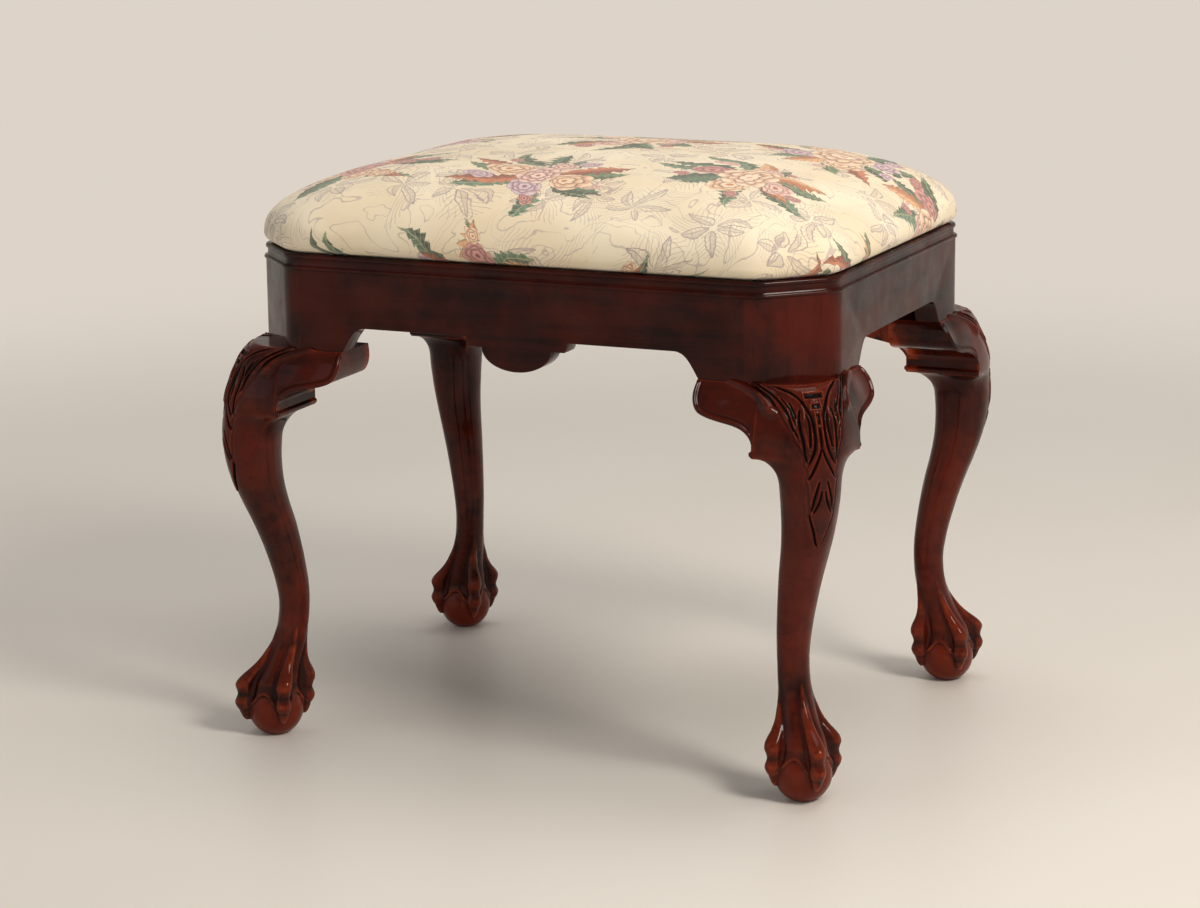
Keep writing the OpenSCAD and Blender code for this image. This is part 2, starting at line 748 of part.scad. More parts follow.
module leg_front_left() { color(mahogany) at_corner(0, 0) leg(); }
module leg_front_right() { color(mahogany) at_corner(1, 0) leg(); }
module leg_back_left() { color(mahogany) at_corner(0, 1) leg(); }
module leg_back_right() { color(mahogany) at_corner(1, 1) leg(); }

module rail_front() { color(mahogany) long_rail(); }
module rail_back() { color(mahogany) mirror([0, 1, 0]) long_rail(); }
module rail_left() { color(mahogany) short_rail(); }
module rail_right() { color(mahogany) mirror([1, 0, 0]) short_rail(); }

module knee_block_front_left_long() { color(mahogany) at_corner(0, 0) knee_block(); }
module knee_block_front_left_short() { color(mahogany) at_corner(0, 0) short_side() knee_block(); }
module knee_block_front_right_long() { color(mahogany) at_corner(1, 0) knee_block(); }
module knee_block_front_right_short() { color(mahogany) at_corner(1, 0) short_side() knee_block(); }
module knee_block_back_left_long() { color(mahogany) at_corner(0, 1) knee_block(); }
module knee_block_back_left_short() { color(mahogany) at_corner(0, 1) short_side() knee_block(); }
module knee_block_back_right_long() { color(mahogany) at_corner(1, 1) knee_block(); }
module knee_block_back_right_short() { color(mahogany) at_corner(1, 1) short_side() knee_block(); }

module moulding_front() { color(mahogany) at_corner(0, 0) moulding_run(frame_w); }
module moulding_back() { color(mahogany) at_corner(0, 1) moulding_run(frame_w); }
module moulding_left() { color(mahogany) at_corner(0, 0) short_side() moulding_run(frame_d); }
module moulding_right() { color(mahogany) at_corner(1, 0) short_side() moulding_run(frame_d); }
module moulding_corner_front_left() { color(mahogany) at_corner(0, 0) moulding_corner(); }
module moulding_corner_front_right() { color(mahogany) at_corner(1, 0) moulding_corner(); }
module moulding_corner_back_left() { color(mahogany) at_corner(0, 1) moulding_corner(); }
module moulding_corner_back_right() { color(mahogany) at_corner(1, 1) moulding_corner(); }

module corner_block_front_left() { color(inner_wood) at_corner(0, 0) corner_block(); }
module corner_block_front_right() { color(inner_wood) at_corner(1, 0) corner_block(); }
module corner_block_back_left() { color(inner_wood) at_corner(0, 1) corner_block(); }
module corner_block_back_right() { color(inner_wood) at_corner(1, 1) corner_block(); }
module corner_block_screws() {
    color(steel)
        for (right = [0, 1], back = [0, 1])
            at_corner(right, back)
                screw_pair();
}

module seat_board_front() { color(inner_wood) long_seat_board(); }
module seat_board_back() { color(inner_wood) mirror([0, 1, 0]) long_seat_board(); }
module seat_board_left() { color(inner_wood) short_seat_board(); }
module seat_board_right() { color(inner_wood) mirror([1, 0, 0]) short_seat_board(); }

module seat_webbing() {
    color(jute) {
        for (i = [0:webs_long - 1])
            translate([0, web_place(web_space_y, webs_long, i), 0])
                web_strip(web_space_x, webs_cross, i);
        for (i = [0:webs_cross - 1])
            translate([web_place(web_space_x, webs_cross, i), 0, 0])
                rotate([0, 0, 90])
                    web_strip(web_space_y, webs_long, i + 1);
    }
}

// Distance of the hessian's edge inside the seat boards' outer edge
hessian_in = 8;
module seat_hessian() {
    color(jute)
        translate([0, 0, board_top + 2 * web_t])
            linear_extrude(hessian_t)
                canted(board_in + hessian_in);
}

module seat_pad() { color(foam) pad_form(); }
module seat_cover() { color(printed_cloth) cover_shell(); }

// Distance between the cover's turned edge and the dust cloth
dust_gap = 2;
module dust_cloth() {
    color(black_cloth)
        difference() {
            translate([0, 0, board_z - dust_t])
                linear_extrude(dust_t)
                    canted(skirt_in + cover_turn + dust_gap);
            tack_holes();
        }
}
module dust_cloth_tacks() {
    color(steel)
        for (place = tack_places)
            translate([place[0], place[1], board_z - dust_t - tack_head_h]) {
                cylinder(d1 = tack_head_d * 0.7, d2 = tack_head_d, h = tack_head_h);
                cylinder(d = tack_d, h = tack_head_h + tack_l);
            }
}

leg_front_left();
leg_front_right();
leg_back_left();
leg_back_right();
rail_front();
rail_back();
rail_left();
rail_right();
knee_block_front_left_long();
knee_block_front_left_short();
knee_block_front_right_long();
knee_block_front_right_short();
knee_block_back_left_long();
knee_block_back_left_short();
knee_block_back_right_long();
knee_block_back_right_short();
moulding_front();
moulding_back();
moulding_left();
moulding_right();
moulding_corner_front_left();
moulding_corner_front_right();
moulding_corner_back_left();
moulding_corner_back_right();
corner_block_front_left();
corner_block_front_right();
corner_block_back_left();
corner_block_back_right();
corner_block_screws();
seat_board_front();
seat_board_back();
seat_board_left();
seat_board_right();
seat_webbing();
seat_hessian();
seat_pad();
seat_cover();
dust_cloth();
dust_cloth_tacks();
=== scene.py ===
# %% [markdown]
# # A stool with cabriole legs and a drop-in seat
#
# The CAD frame gives every piece its place and size. This notebook dresses it: carved
# mahogany legs, shaped rails, a moulding, and a crowned seat in printed cotton. Sizes are
# written in millimetres, as a joiner would, and turned into metres when a mesh is made.

# %% Load the frame
import math
import bmesh
import bpy
import numpy as np
from mathutils import Matrix, Vector


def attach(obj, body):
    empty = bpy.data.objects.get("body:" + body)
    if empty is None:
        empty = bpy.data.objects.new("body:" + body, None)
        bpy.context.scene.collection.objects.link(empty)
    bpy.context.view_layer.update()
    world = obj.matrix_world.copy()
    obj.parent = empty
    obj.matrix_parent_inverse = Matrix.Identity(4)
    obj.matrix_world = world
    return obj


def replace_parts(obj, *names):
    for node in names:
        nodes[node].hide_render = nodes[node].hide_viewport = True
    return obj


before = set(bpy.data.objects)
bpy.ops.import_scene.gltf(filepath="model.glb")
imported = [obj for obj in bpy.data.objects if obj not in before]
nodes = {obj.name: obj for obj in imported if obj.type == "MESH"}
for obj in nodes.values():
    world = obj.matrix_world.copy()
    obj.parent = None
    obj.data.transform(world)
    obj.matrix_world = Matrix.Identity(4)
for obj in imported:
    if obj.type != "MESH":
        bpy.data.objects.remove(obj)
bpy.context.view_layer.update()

MM = 0.001

# %% [markdown]
# The photograph was taken a little above the seat's height, from the right. A lens of
# 100 mm on a 36 mm sensor, turned 24 degrees, looks down 12.6 degrees. The camera's own axes
# are written out as three vectors, so no tilt is left to guesswork.

# %% Camera
YAW, PITCH, ROLL = 0.419, 0.22, -0.011
EYE = (1.2022, -2.7375, 0.9075)
forward = Vector((-math.sin(YAW) * math.cos(PITCH), math.cos(YAW) * math.cos(PITCH),
                  -math.sin(PITCH)))
level = Vector((math.cos(YAW), math.sin(YAW), 0))
upward = level.cross(forward)
right = level * math.cos(ROLL) + upward * math.sin(ROLL)
up = upward * math.cos(ROLL) - level * math.sin(ROLL)
camera_data = bpy.data.cameras.new("photo_camera")
camera_data.sensor_width = 36
camera_data.lens = 100.15
camera_data.clip_end = 50
camera = bpy.data.objects.new("photo_camera", camera_data)
camera.matrix_world = Matrix((
    (right.x, up.x, -forward.x, EYE[0]),
    (right.y, up.y, -forward.y, EYE[1]),
    (right.z, up.z, -forward.z, EYE[2]),
    (0, 0, 0, 1)))
bpy.context.scene.collection.objects.link(camera)
bpy.context.scene.camera = camera
print("camera", camera.matrix_world.translation, "lens", camera_data.lens)

# %% [markdown]
# ## Making meshes
#
# Most pieces here are grids of points: rings stacked up a leg, rows across a cushion. A few
# helpers turn an array of points into a mesh, apply modifiers for good, and read or write all
# the points of a mesh at once, which is far quicker than a loop over them.

# %% Helpers for meshes
def link(name, mesh):
    obj = bpy.data.objects.new(name, mesh)
    bpy.context.scene.collection.objects.link(obj)
    return obj


def mesh_object(name, points, faces):
    mesh = bpy.data.meshes.new(name)
    mesh.from_pydata((np.asarray(points, float) * MM).tolist(), [],
                     [list(map(int, f)) for f in faces])
    mesh.update()
    return link(name, mesh)


def grid_faces(rows, columns, wrap=True):
    r = np.arange(rows - 1)[:, None]
    c = np.arange(columns if wrap else columns - 1)[None]
    a = r * columns + c
    b = r * columns + (c + 1) % columns
    return np.stack([a, b, b + columns, a + columns], -1).reshape(-1, 4).tolist()


def stack(name, rings):
    """A closed mesh of rings that run anticlockwise seen from above, from the lowest up."""
    rings = np.asarray(rings, float)
    rows, columns = rings.shape[:2]
    faces = grid_faces(rows, columns)
    low, high = rings[0].mean(0), rings[-1].mean(0)
    n = rows * columns
    for c in range(columns):
        d = (c + 1) % columns
        faces.append([n, d, c])
        faces.append([n + 1, n - columns + c, n - columns + d])
    return mesh_object(name, np.vstack([rings.reshape(-1, 3), low, high]), faces)


def finished_mesh(obj):
    """A plain mesh of the object as its modifiers leave it."""
    graph = bpy.context.evaluated_depsgraph_get()
    return bpy.data.meshes.new_from_object(obj.evaluated_get(graph))


def baked(obj):
    """Applies the object's modifiers for good."""
    mesh = finished_mesh(obj)
    old = obj.data
    obj.modifiers.clear()
    obj.data = mesh
    bpy.data.meshes.remove(old)
    return obj


def joined(name, *objects):
    """One object of several meshes, which are removed."""
    work = bmesh.new()
    for obj in objects:
        work.from_mesh(obj.data)
    mesh = bpy.data.meshes.new(name)
    work.to_mesh(mesh)
    work.free()
    for obj in objects:
        bpy.data.meshes.remove(obj.data)
    return link(name, mesh)


def facing_out(obj, weld=0):
    """Turns every face outward, with near points welded, and counts the open edges."""
    work = bmesh.new()
    work.from_mesh(obj.data)
    if weld:
        bmesh.ops.remove_doubles(work, verts=work.verts, dist=weld * MM)
    bmesh.ops.recalc_face_normals(work, faces=work.faces)
    open_edges = sum(1 for e in work.edges if not e.is_manifold)
    work.to_mesh(obj.data)
    work.free()
    return open_edges


def get_points(mesh):
    points = np.empty(len(mesh.vertices) * 3)
    mesh.vertices.foreach_get("co", points)
    return points.reshape(-1, 3) / MM


def set_points(mesh, points):
    mesh.vertices.foreach_set("co", (np.asarray(points) * MM).ravel())
    mesh.update()


def get_normals(mesh):
    normals = np.empty(len(mesh.vertices) * 3)
    mesh.vertices.foreach_get("normal", normals)
    return normals.reshape(-1, 3)


def set_value(mesh, name, values):
    """Stores a number or a vector at each point, for a node tree to read."""
    values = np.asarray(values, np.float32)
    kind, key = ("FLOAT", "value") if values.ndim == 1 else ("FLOAT_VECTOR", "vector")
    mesh.attributes.new(name, kind, "POINT").data.foreach_set(key, values.ravel())


def get_edges(mesh):
    edges = np.empty(len(mesh.edges) * 2, np.int64)
    mesh.edges.foreach_get("vertices", edges)
    return edges.reshape(-1, 2)


def spread(values, edges):
    """The mean of each point's neighbours."""
    count = np.bincount(edges.ravel(), minlength=len(values)).clip(1)
    sums = [np.bincount(edges[:, 0], values[:, k][edges[:, 1]], len(values))
            + np.bincount(edges[:, 1], values[:, k][edges[:, 0]], len(values))
            for k in range(values.shape[1])]
    return np.stack(sums, 1) / count[:, None]


def relaxed(values, edges, rounds, share=.5):
    """Plain smoothing: each round moves every value towards the mean of its neighbours."""
    for _ in range(rounds):
        values = values + share * (spread(values, edges) - values)
    return values


def eased(points, edges, rounds):
    """Smooths without shrinking: each round moves in by half and out again."""
    for _ in range(rounds):
        points = points + 0.5 * (spread(points, edges) - points)
        points = points - 0.52 * (spread(points, edges) - points)
    return points


def shade(obj, angle=35):
    """Smooth shading, with edges sharper than the angle kept crisp."""
    obj.data.shade_smooth()
    obj.data.set_sharp_from_angle(angle=math.radians(angle))
    return obj


# %% [markdown]
# Each corner of the stool is the mirror image of its neighbours. A corner piece is made once,
# in its own coordinates: u runs in from the end of the frame, v runs in from the front, and z
# runs up. Copies are then set at the four corners, with their faces turned over where the
# mirror would have turned them inside out.

# %% Corners and curves
FRAME_W, FRAME_D = 545, 425
RAIL_TOP, KNEE_TOP = 431, 360.5
RAIL_T = 22
CANT, EDGE_R, POST_W = 52, 26, 64      # cant and rounding of the corners, side of the post
CORNERS = {"front_left": (-1, -1), "front_right": (1, -1),
           "back_left": (-1, 1), "back_right": (1, 1)}


def at_corner(source, name, corner, swap=False):
    """A copy of a piece made in corner coordinates, at one corner of the frame."""
    side, end = CORNERS[corner]
    mesh = source.data.copy()
    points = get_points(mesh)
    u, v = (points[:, 1], points[:, 0]) if swap else (points[:, 0], points[:, 1])
    set_points(mesh, np.stack([side * (FRAME_W / 2 - u), end * (FRAME_D / 2 - v),
                               points[:, 2]], 1))
    if (side * end < 0) != swap:
        mesh.flip_normals()
    return link(name, mesh)


def smooth(x, xs, ys):
    """A smooth curve through the points (xs, ys), read at x."""
    xs, ys = np.asarray(xs, float), np.asarray(ys, float)
    x = np.clip(x, xs[0], xs[-1])
    slope = np.gradient(ys, xs)
    i = np.clip(np.searchsorted(xs, x, side="right") - 1, 0, len(xs) - 2)
    h = xs[i + 1] - xs[i]
    t = (x - xs[i]) / h
    return ((2 * t**3 - 3 * t**2 + 1) * ys[i] + (t**3 - 2 * t**2 + t) * h * slope[i]
            + (3 * t**2 - 2 * t**3) * ys[i + 1] + (t**3 - t**2) * h * slope[i + 1])


def bezier(p0, p1, p2, p3, count=20):
    t = np.linspace(0, 1, count)[:, None]
    p0, p1, p2, p3 = (np.asarray(p, float) for p in (p0, p1, p2, p3))
    return (1 - t)**3 * p0 + 3 * (1 - t)**2 * t * p1 + 3 * (1 - t) * t**2 * p2 + t**3 * p3


def near(points, line):
    """Distance of each flat point from a line of points, and how far along it that is, 0 to 1."""
    line = np.asarray(line, float)
    lengths = np.hypot(*(line[1:] - line[:-1]).T)
    ends = np.concatenate([[0], np.cumsum(lengths)])
    best = np.full(len(points), np.inf)
    share = np.zeros(len(points))
    for a, b, start, length in zip(line[:-1], line[1:], ends, lengths):
        t = np.clip(((points - a) @ (b - a)) / length**2, 0, 1)
        d = np.hypot(*(points - a - t[:, None] * (b - a)).T)
        closer = d < best
        best[closer] = d[closer]
        share[closer] = ((start + t * length) / ends[-1])[closer]
    return best, share


print("frame:", FRAME_W, "x", FRAME_D, "mm, with corners", ", ".join(CORNERS))

# %% [markdown]
# ## The legs
#
# A cabriole leg is sawn from a thick square of timber and shaped with spokeshave and rasp:
# the knee swings out past the frame, the ankle swings back under it, and the foot turns out
# again into a claw that grips a ball. The foot could be sculpted by hand, or cut with
# booleans. Here each part of it is a plain closed form, and a voxel remesh welds them, as a
# carver leaves no joints between toe and web.

# %% The leg's section at each height
FOOT_H, SHOULDER_H = 86, 301           # where the shaft starts and where the shoulder does
BLOCK = 48                             # the knee blocks start this far in from the corner
AXIS = 40                              # the shoulder's middle, as far in from either face
KNEE_OUT, CORNER_OUT = 21.5, 13        # how far the knee swells at its faces and its corner
ANKLE_T, SWELL_T = 27.6, 22.4          # the ankle's thickness, and what the thigh adds
ANKLE_IN, SWING = 7.8, 23.7            # the shaft's middle, at its furthest out and its swing
HOLLOW_H = 24
# Rows are height as a share, then two shares that grow with it. Shaft: swing and swell
SHAFT = np.array([
    (0, .83, .07), (.04, .90, .035), (.08, .955, .01), (.12, .985, 0), (.17, 1, .01),
    (.25, .955, .09), (.34, .84, .195), (.43, .69, .315), (.52, .51, .45), (.61, .295, .58),
    (.70, .12, .73), (.79, .025, .88), (.87, 0, 1), (.94, .03, 1.07), (1, .08, 1.11)])
# Shoulder: swell of the faces and of the corner
SHOULDER = np.array([
    (0, .98, 1), (.15, 1, .92), (.29, .95, .77), (.42, .86, .54), (.55, .745, .32),
    (.67, .63, .04), (.79, .49, -.23), (.875, .35, -.50), (.94, .21, -.77),
    (.983, .095, -1.08), (1, .047, -1.26)])
LEG_COLUMNS = 144
bearings = np.radians(np.linspace(45, 405, LEG_COLUMNS, endpoint=False))
SINK = 1.5   # how far the leg runs on inside its knee blocks and its post


def shoulder_out(z):
    """How far the knee stands out past the rail's face at a height."""
    share = (z - SHOULDER_H) / (KNEE_TOP - SHOULDER_H)
    return KNEE_OUT * smooth(share, SHOULDER[:, 0], SHOULDER[:, 1])


def reach(h, square, a):
    """Radius of a squared circle of half width h: a square of 2 is round, more is squarer."""
    return h / (np.abs(np.cos(a))**square + np.abs(np.sin(a))**square)**(1 / square)


def shaft_section(z):
    t = (z - FOOT_H) / (SHOULDER_H - FOOT_H)
    centre = ANKLE_IN + SWING * smooth(t, SHAFT[:, 0], SHAFT[:, 1])
    share = smooth(t, SHAFT[:, 0], SHAFT[:, 2])
    r = reach((ANKLE_T + SWELL_T * share) / 2, 2 + .35 * share, bearings)
    return np.stack([centre + r * np.cos(bearings), centre + r * np.sin(bearings)], 1)


def shoulder_section(z):
    """A squared circle outside, from block to block, and a plain square inside the frame."""
    t = (z - SHOULDER_H) / (KNEE_TOP - SHOULDER_H)
    h = AXIS + shoulder_out(z)
    diagonal = AXIS * math.sqrt(2) + CORNER_OUT * smooth(t, SHOULDER[:, 0], SHOULDER[:, 2])
    square = math.log(2) / math.log(h * math.sqrt(2) / diagonal)
    inner = BLOCK + SINK
    side = inner - AXIS
    face = (h**square - side**square)**(1 / square)
    half_turn = 45 + math.degrees(math.atan(side / face))
    a = np.degrees(bearings)
    b = np.radians(225 + (a - 225) * half_turn / 90)
    r = reach(h, square, b)
    edge = AXIS - face
    u = np.where(a < 135, inner + (edge - inner) * (a - 45) / 90, AXIS + r * np.cos(b))
    v = np.where(a < 135, inner, AXIS + r * np.sin(b))
    last = a > 315
    u = np.where(last, inner, u)
    v = np.where(last, edge + (inner - edge) * (a - 315) / 90, v)
    return np.stack([u, v], 1)


def leg_section(z):
    """The shaft runs into the shoulder through a short hollow."""
    if z >= SHOULDER_H:
        return shoulder_section(z)
    x = max(0, (z - SHOULDER_H + HOLLOW_H) / HOLLOW_H)
    blend = 1 - math.sqrt(1 - x * x)
    return shaft_section(z) * (1 - blend) + shoulder_section(SHOULDER_H) * blend


def level_ring(section, z):
    return np.column_stack([section, np.full(len(section), z)])


# Rings lie closer where the form turns fast
heights = np.concatenate([
    np.arange(FOOT_H - 2, 276, 2.0), np.arange(276, SHOULDER_H, .8),
    np.arange(SHOULDER_H, 355, 1.5), np.linspace(355, KNEE_TOP, 9)])
shaft = stack("leg_shaft", [level_ring(leg_section(max(z, FOOT_H)), z) for z in heights])
print("shaft and knee:", len(heights), "rings")

# %% [markdown]
# The foot: a ball 50 mm across, four toes with two knuckles and a nail each, and the web of
# skin that stretches between them over the top of the ball. Each toe is a stack of sections,
# round outside and running straight in to the ball. Its upper end becomes one of the four
# tendons that climb the ankle.

# %% Ball, toes and web
BALL_R, BALL_Z, FOOT_IN = 25, 23, 17
PALM_TOP = 96
TOE_TURN = 60                          # above this height every toe is a tendon
# Rows of a toe: height, how far out it reaches, half its width
TOE = np.array([
    (14.6, 28.2, 1.0), (16.6, 30.0, 2.6), (19.5, 31.6, 3.9), (22.5, 32.9, 4.9), (25, 33.9, 5.3),
    (26.6, 35.2, 6.3), (29.5, 36.7, 6.9), (32.5, 37.4, 7.1), (35.5, 36.4, 6.6), (39.5, 34.9, 5.9),
    (43, 35.6, 6.4), (48, 37.3, 7.3), (52, 36.4, 7.3), (57, 32.8, 6.6), (62, 28.2, 5.7),
    (68, 23.8, 4.8), (76, 20.0, 4.0), (84, 17.5, 3.5), (92, 15.8, 3.1), (102, 14.0, 2.6)])
# Height, and how far in the foot's middle lies there
FOOT_CENTRE = np.array([
    (0, FOOT_IN), (42, FOOT_IN), (50, 17.5), (54, 18.4), (60, 20.1), (68, 22.6), (77, 25.2),
    (86, 27.5), (94.6, 29.1), (103, 30.4)])
TOES = {225: 1.0, 135: .95, 45: 1.0, 315: .95}     # bearing and length of each toe


def foot_centre(z):
    return smooth(z, FOOT_CENTRE[:, 0], FOOT_CENTRE[:, 1])


def toe(bearing, length):
    """Rows of a toe, each an outer half round with walls that run in to the ball."""
    a = math.radians(bearing)
    along = np.array([math.cos(a), math.sin(a)])
    across = np.array([-along[1], along[0]])
    turn = np.linspace(-math.pi / 2, math.pi / 2, 25)
    rings = []
    for z in np.linspace(TOE[0, 0], TOE[-1, 0], 110):
        shorter = (1 - length) * min(1, max(0, 1 - (z - TOE_TURN) / 20))
        w = smooth(z, TOE[:, 0], TOE[:, 2])
        deep = w * 1.15
        r = smooth(z, TOE[:, 0], TOE[:, 1]) * (1 - shorter) - deep
        out = np.concatenate([r + deep * np.cos(turn), [r - 4, 8, 8, r - 4]])
        side = np.concatenate([w * np.sin(turn), [w * .86, w * .5, -w * .5, -w * .86]])
        spot = foot_centre(z) + out[:, None] * along + side[:, None] * across
        rings.append(level_ring(spot, z))
    return stack("toe", rings)


def web_edge(a):
    """Height of the web's lower edge at a bearing: an arch from toe to toe."""
    off = np.abs((np.degrees(a) - 45 + 45) % 90 - 45) / 45
    return 26 + 14 * np.sin(np.pi / 2 * np.clip((off - .22) / .78, 0, 1))


def ball_section(z, grow=0.0):
    """The ball's radius at a height, for a ball that is larger by so much."""
    return np.sqrt(np.maximum((BALL_R + grow)**2 - (z - BALL_Z)**2, 0))


ball_rows = BALL_Z - BALL_R * np.cos(np.linspace(math.acos(BALL_Z / BALL_R), math.pi - .05, 60))
round_bearings = np.radians(np.linspace(0, 360, 120, endpoint=False))
circle = np.stack([np.cos(round_bearings), np.sin(round_bearings)], 1)
ball = stack("ball", [level_ring(FOOT_IN + circle * ball_section(z), z) for z in ball_rows])

# Height and radius of the palm above the ball
PALM = np.array([
    (26, 26.6), (40, 22.3), (46, 21.2), (50, 20.9), (54, 20.3), (60, 18.6), (68, 16.8),
    (77, 15.5), (84, 14.8), (90, 14.1), (PALM_TOP, 13.3)])
ball_top = BALL_Z + BALL_R - 1
web_low = web_edge(round_bearings)
web_rings = []
for share in np.linspace(0, 1, 70):
    z = web_low + share * (PALM_TOP - web_low)
    over = ball_section(np.minimum(z, ball_top), 1.7)
    r = np.maximum(np.where(z < ball_top, over, 0), smooth(z, PALM[:, 0], PALM[:, 1]))
    centre = foot_centre(z)
    web_rings.append(np.stack([centre + r * circle[:, 0], centre + r * circle[:, 1], z], 1))
web = stack("web", web_rings)

# A thin roll along each web's edge, between two toes
LIP_R = 1.35
lips = []
for middle in (0, 90, 180, 270):
    a = np.radians(np.linspace(middle - 36, middle + 36, 60))
    z = web_edge(a) + .4
    r = ball_section(z, .9)
    path = np.stack([FOOT_IN + r * np.cos(a), FOOT_IN + r * np.sin(a), z], 1)
    ahead = np.gradient(path, axis=0)
    ahead /= np.linalg.norm(ahead, axis=1)[:, None]
    outward = path - np.array([FOOT_IN, FOOT_IN, BALL_Z])
    outward /= np.linalg.norm(outward, axis=1)[:, None]
    upward = np.cross(ahead, outward)
    turn = np.linspace(0, 2 * math.pi, 12, endpoint=False)
    lips.append(stack("web_lip", [
        p + LIP_R * (np.cos(turn)[:, None] * o + np.sin(turn)[:, None] * w)
        for p, o, w in zip(path, outward, upward)]))
toes = [toe(bearing, length) for bearing, length in TOES.items()]
print("foot:", len(toes), "toes,", len(lips), "web lips")

# %% [markdown]
# The voxel remesh rebuilds everything as one skin of small squares. Only the carved part of
# the knee needs finer ones, so those faces are cut in four and the rest stay as they are.

# %% One skin
VOXEL = 1.15
LEAF_TIP = 227
leg_raw = joined("leg_raw", shaft, ball, web, *lips, *toes)
remesh = leg_raw.modifiers.new("weld", "REMESH")
remesh.mode = "VOXEL"
remesh.voxel_size = VOXEL * MM
remesh.adaptivity = 0
leg_raw = baked(leg_raw)
edges = get_edges(leg_raw.data)
points = eased(get_points(leg_raw.data), edges, 5)

# The hollow under the shoulder meets it in a hard line, which a rasp would soften
soft = np.clip(1.6 - np.abs(points[:, 2] - SHOULDER_H) / 6, 0, 1)[:, None]
soft *= np.clip((BLOCK - 1 - points[:, :2].max(1)) / 5, 0, 1)[:, None]
set_points(leg_raw.data, points * (1 - soft) + relaxed(points, edges, 26) * soft)


def under_the_leaf(face):
    """Whether a face is near the leaf: in front of the knee, and about as wide as the leaf."""
    c, n = face.calc_center_median() / MM, face.normal
    if c.z < LEAF_TIP - 1 or n.x + n.y > .2 or n.z > .85:
        return False
    if c.z < SHOULDER_H:
        return abs(c.x - c.y) < (12 + (c.z - LEAF_TIP) * .08) * 1.41 and c.x + c.y < 10
    return abs(c.x - c.y) < (18 + (c.z - SHOULDER_H) * .62) * 1.41 and max(c.x, c.y) < BLOCK + .6


work = bmesh.new()
work.from_mesh(leg_raw.data)
fine = {edge for face in work.faces if under_the_leaf(face) for edge in face.edges}
bmesh.ops.subdivide_edges(work, edges=list(fine), cuts=1, use_grid_fill=True)
work.to_mesh(leg_raw.data)
work.free()

# The cut faces are evened out, and so is the ring where the ankle meets the toes
points, edges = get_points(leg_raw.data), get_edges(leg_raw.data)
carved_zone = (points[:, 2] > 220) & (points[:, 0] + points[:, 1] < 56)
points[carved_zone] = eased(points, edges, 2)[carved_zone]
hollow = np.clip(1 - np.abs(points[:, 2] - FOOT_H - 1) / 9, 0, 1)[:, None]
points = points * (1 - hollow) + relaxed(points, edges, 12) * hollow
points[:, 2] = np.maximum(points[:, 2], 0)
set_points(leg_raw.data, points)
print("leg skin:", len(leg_raw.data.vertices), "points", len(leg_raw.data.polygons), "faces")

# %% [markdown]
# The knee carries an acanthus leaf in low relief, drawn symmetrically about the leg's outer
# corner. A carver cuts the veins with a V-tool, sets the ground back with a gouge, and leaves
# a few strands standing as rounded cords. Each cut or cord is written here as a line of
# points, t across the corner and z up, with a width at either end and a depth or height.

# %% The drawing of the leaf
# The leaf's outline from its tip up: z, and half its width
LEAF_EDGE = np.array([
    (227, 0), (232, 2.6), (243, 6.0), (252, 8.8), (256, 10.0), (259, 9.4), (266, 10.4), (276, 11.2),
    (283, 12.0), (286.5, 13.0), (289, 11.8), (296, 12.6), (299, 14.2), (302, 13.8), (308, 15.6),
    (314, 17.6), (318, 20.0), (321, 20.6), (327, 22.4), (334, 25.4), (341, 28.0), (349, 32.0),
    (356, 37.0), (361, 41.0)])
# Lines of t and z, then the width at the start and at the end, and the depth
CUTS = [
    ([(29, 361), (24, 358.4), (17.5, 355.4), (12, 350), (7.6, 342), (5.3, 334), (4.7, 325),
      (4.8, 319), (6.5, 310), (10, 302), (13, 296)], 1.0, 1.1, 1.7),
    ([(38.5, 361), (32.4, 355.4), (27.6, 349.3), (23.9, 341), (22.2, 333.5), (20.9, 327.2),
      (17.6, 319.5)], .9, 1.0, 1.5),
    ([(45, 361), (37.2, 355.7), (32.6, 350.4), (30, 343.8)], .7, .8, .9),
    ([(20.9, 348.8), (18.7, 341), (17.6, 335)], .8, .8, 1.2),
    ([(9.5, 340.5), (8, 331), (9, 319.5), (10, 311.5)], .9, .9, 1.4),
    ([(12.9, 345), (15.6, 336), (15.8, 327), (14.9, 318), (14.2, 307.5), (12.1, 299)], .9, .9, 1.5),
    ([(26, 352), (21.5, 344), (19.4, 334), (18.6, 328)], .6, .6, .8),
    ([(0, 329), (0, 311)], 1.1, .8, 1.5),
    ([(0, 313), (2.2, 306), (5.4, 299), (9.4, 291), (12.6, 285.6)], .8, 1.0, 1.6),
    ([(3, 286.4), (5.8, 277), (8.1, 267), (9.2, 258.5)], .8, .9, 1.3),
    ([(1.4, 278), (3.2, 268.5), (7.8, 257.4)], .7, .9, 1.2),
    ([(10.2, 258), (9.4, 252), (5.4, 240), (2.8, 231), (0, 226.5)], .8, .7, .8),
]
# The same, with the height
CORDS = [
    ([(54, 361), (46, 357.4), (39.5, 352.7), (36.4, 347), (34.6, 341)], 2.2, 3.9, 2.4),
    ([(40, 361), (33, 357), (28.2, 350.5), (25.4, 342.6), (22.4, 335), (20.4, 329.6)],
     1.8, 2.6, 1.2),
    ([(14.5, 351.5), (10.8, 343), (12.6, 332), (12.2, 320), (10.6, 309)], 1.3, 1.3, .7),
    ([(4.2, 352), (2.6, 342), (2.4, 331), (2.4, 318), (3.4, 309)], 1.0, .9, .7),
]
# Sunk panels between the top of the leaf's two halves: t half width, low and high z
PANELS = [(8.0, 350.6, 354.6), (3.9, 342.8, 346.8), (1.4, 330.5, 339.0)]
print("the leaf:", len(CUTS), "cuts,", len(CORDS), "cords,", len(PANELS), "panels")


def soft_step(x):
    x = np.clip(x, 0, 1)
    return x * x * (3 - 2 * x)


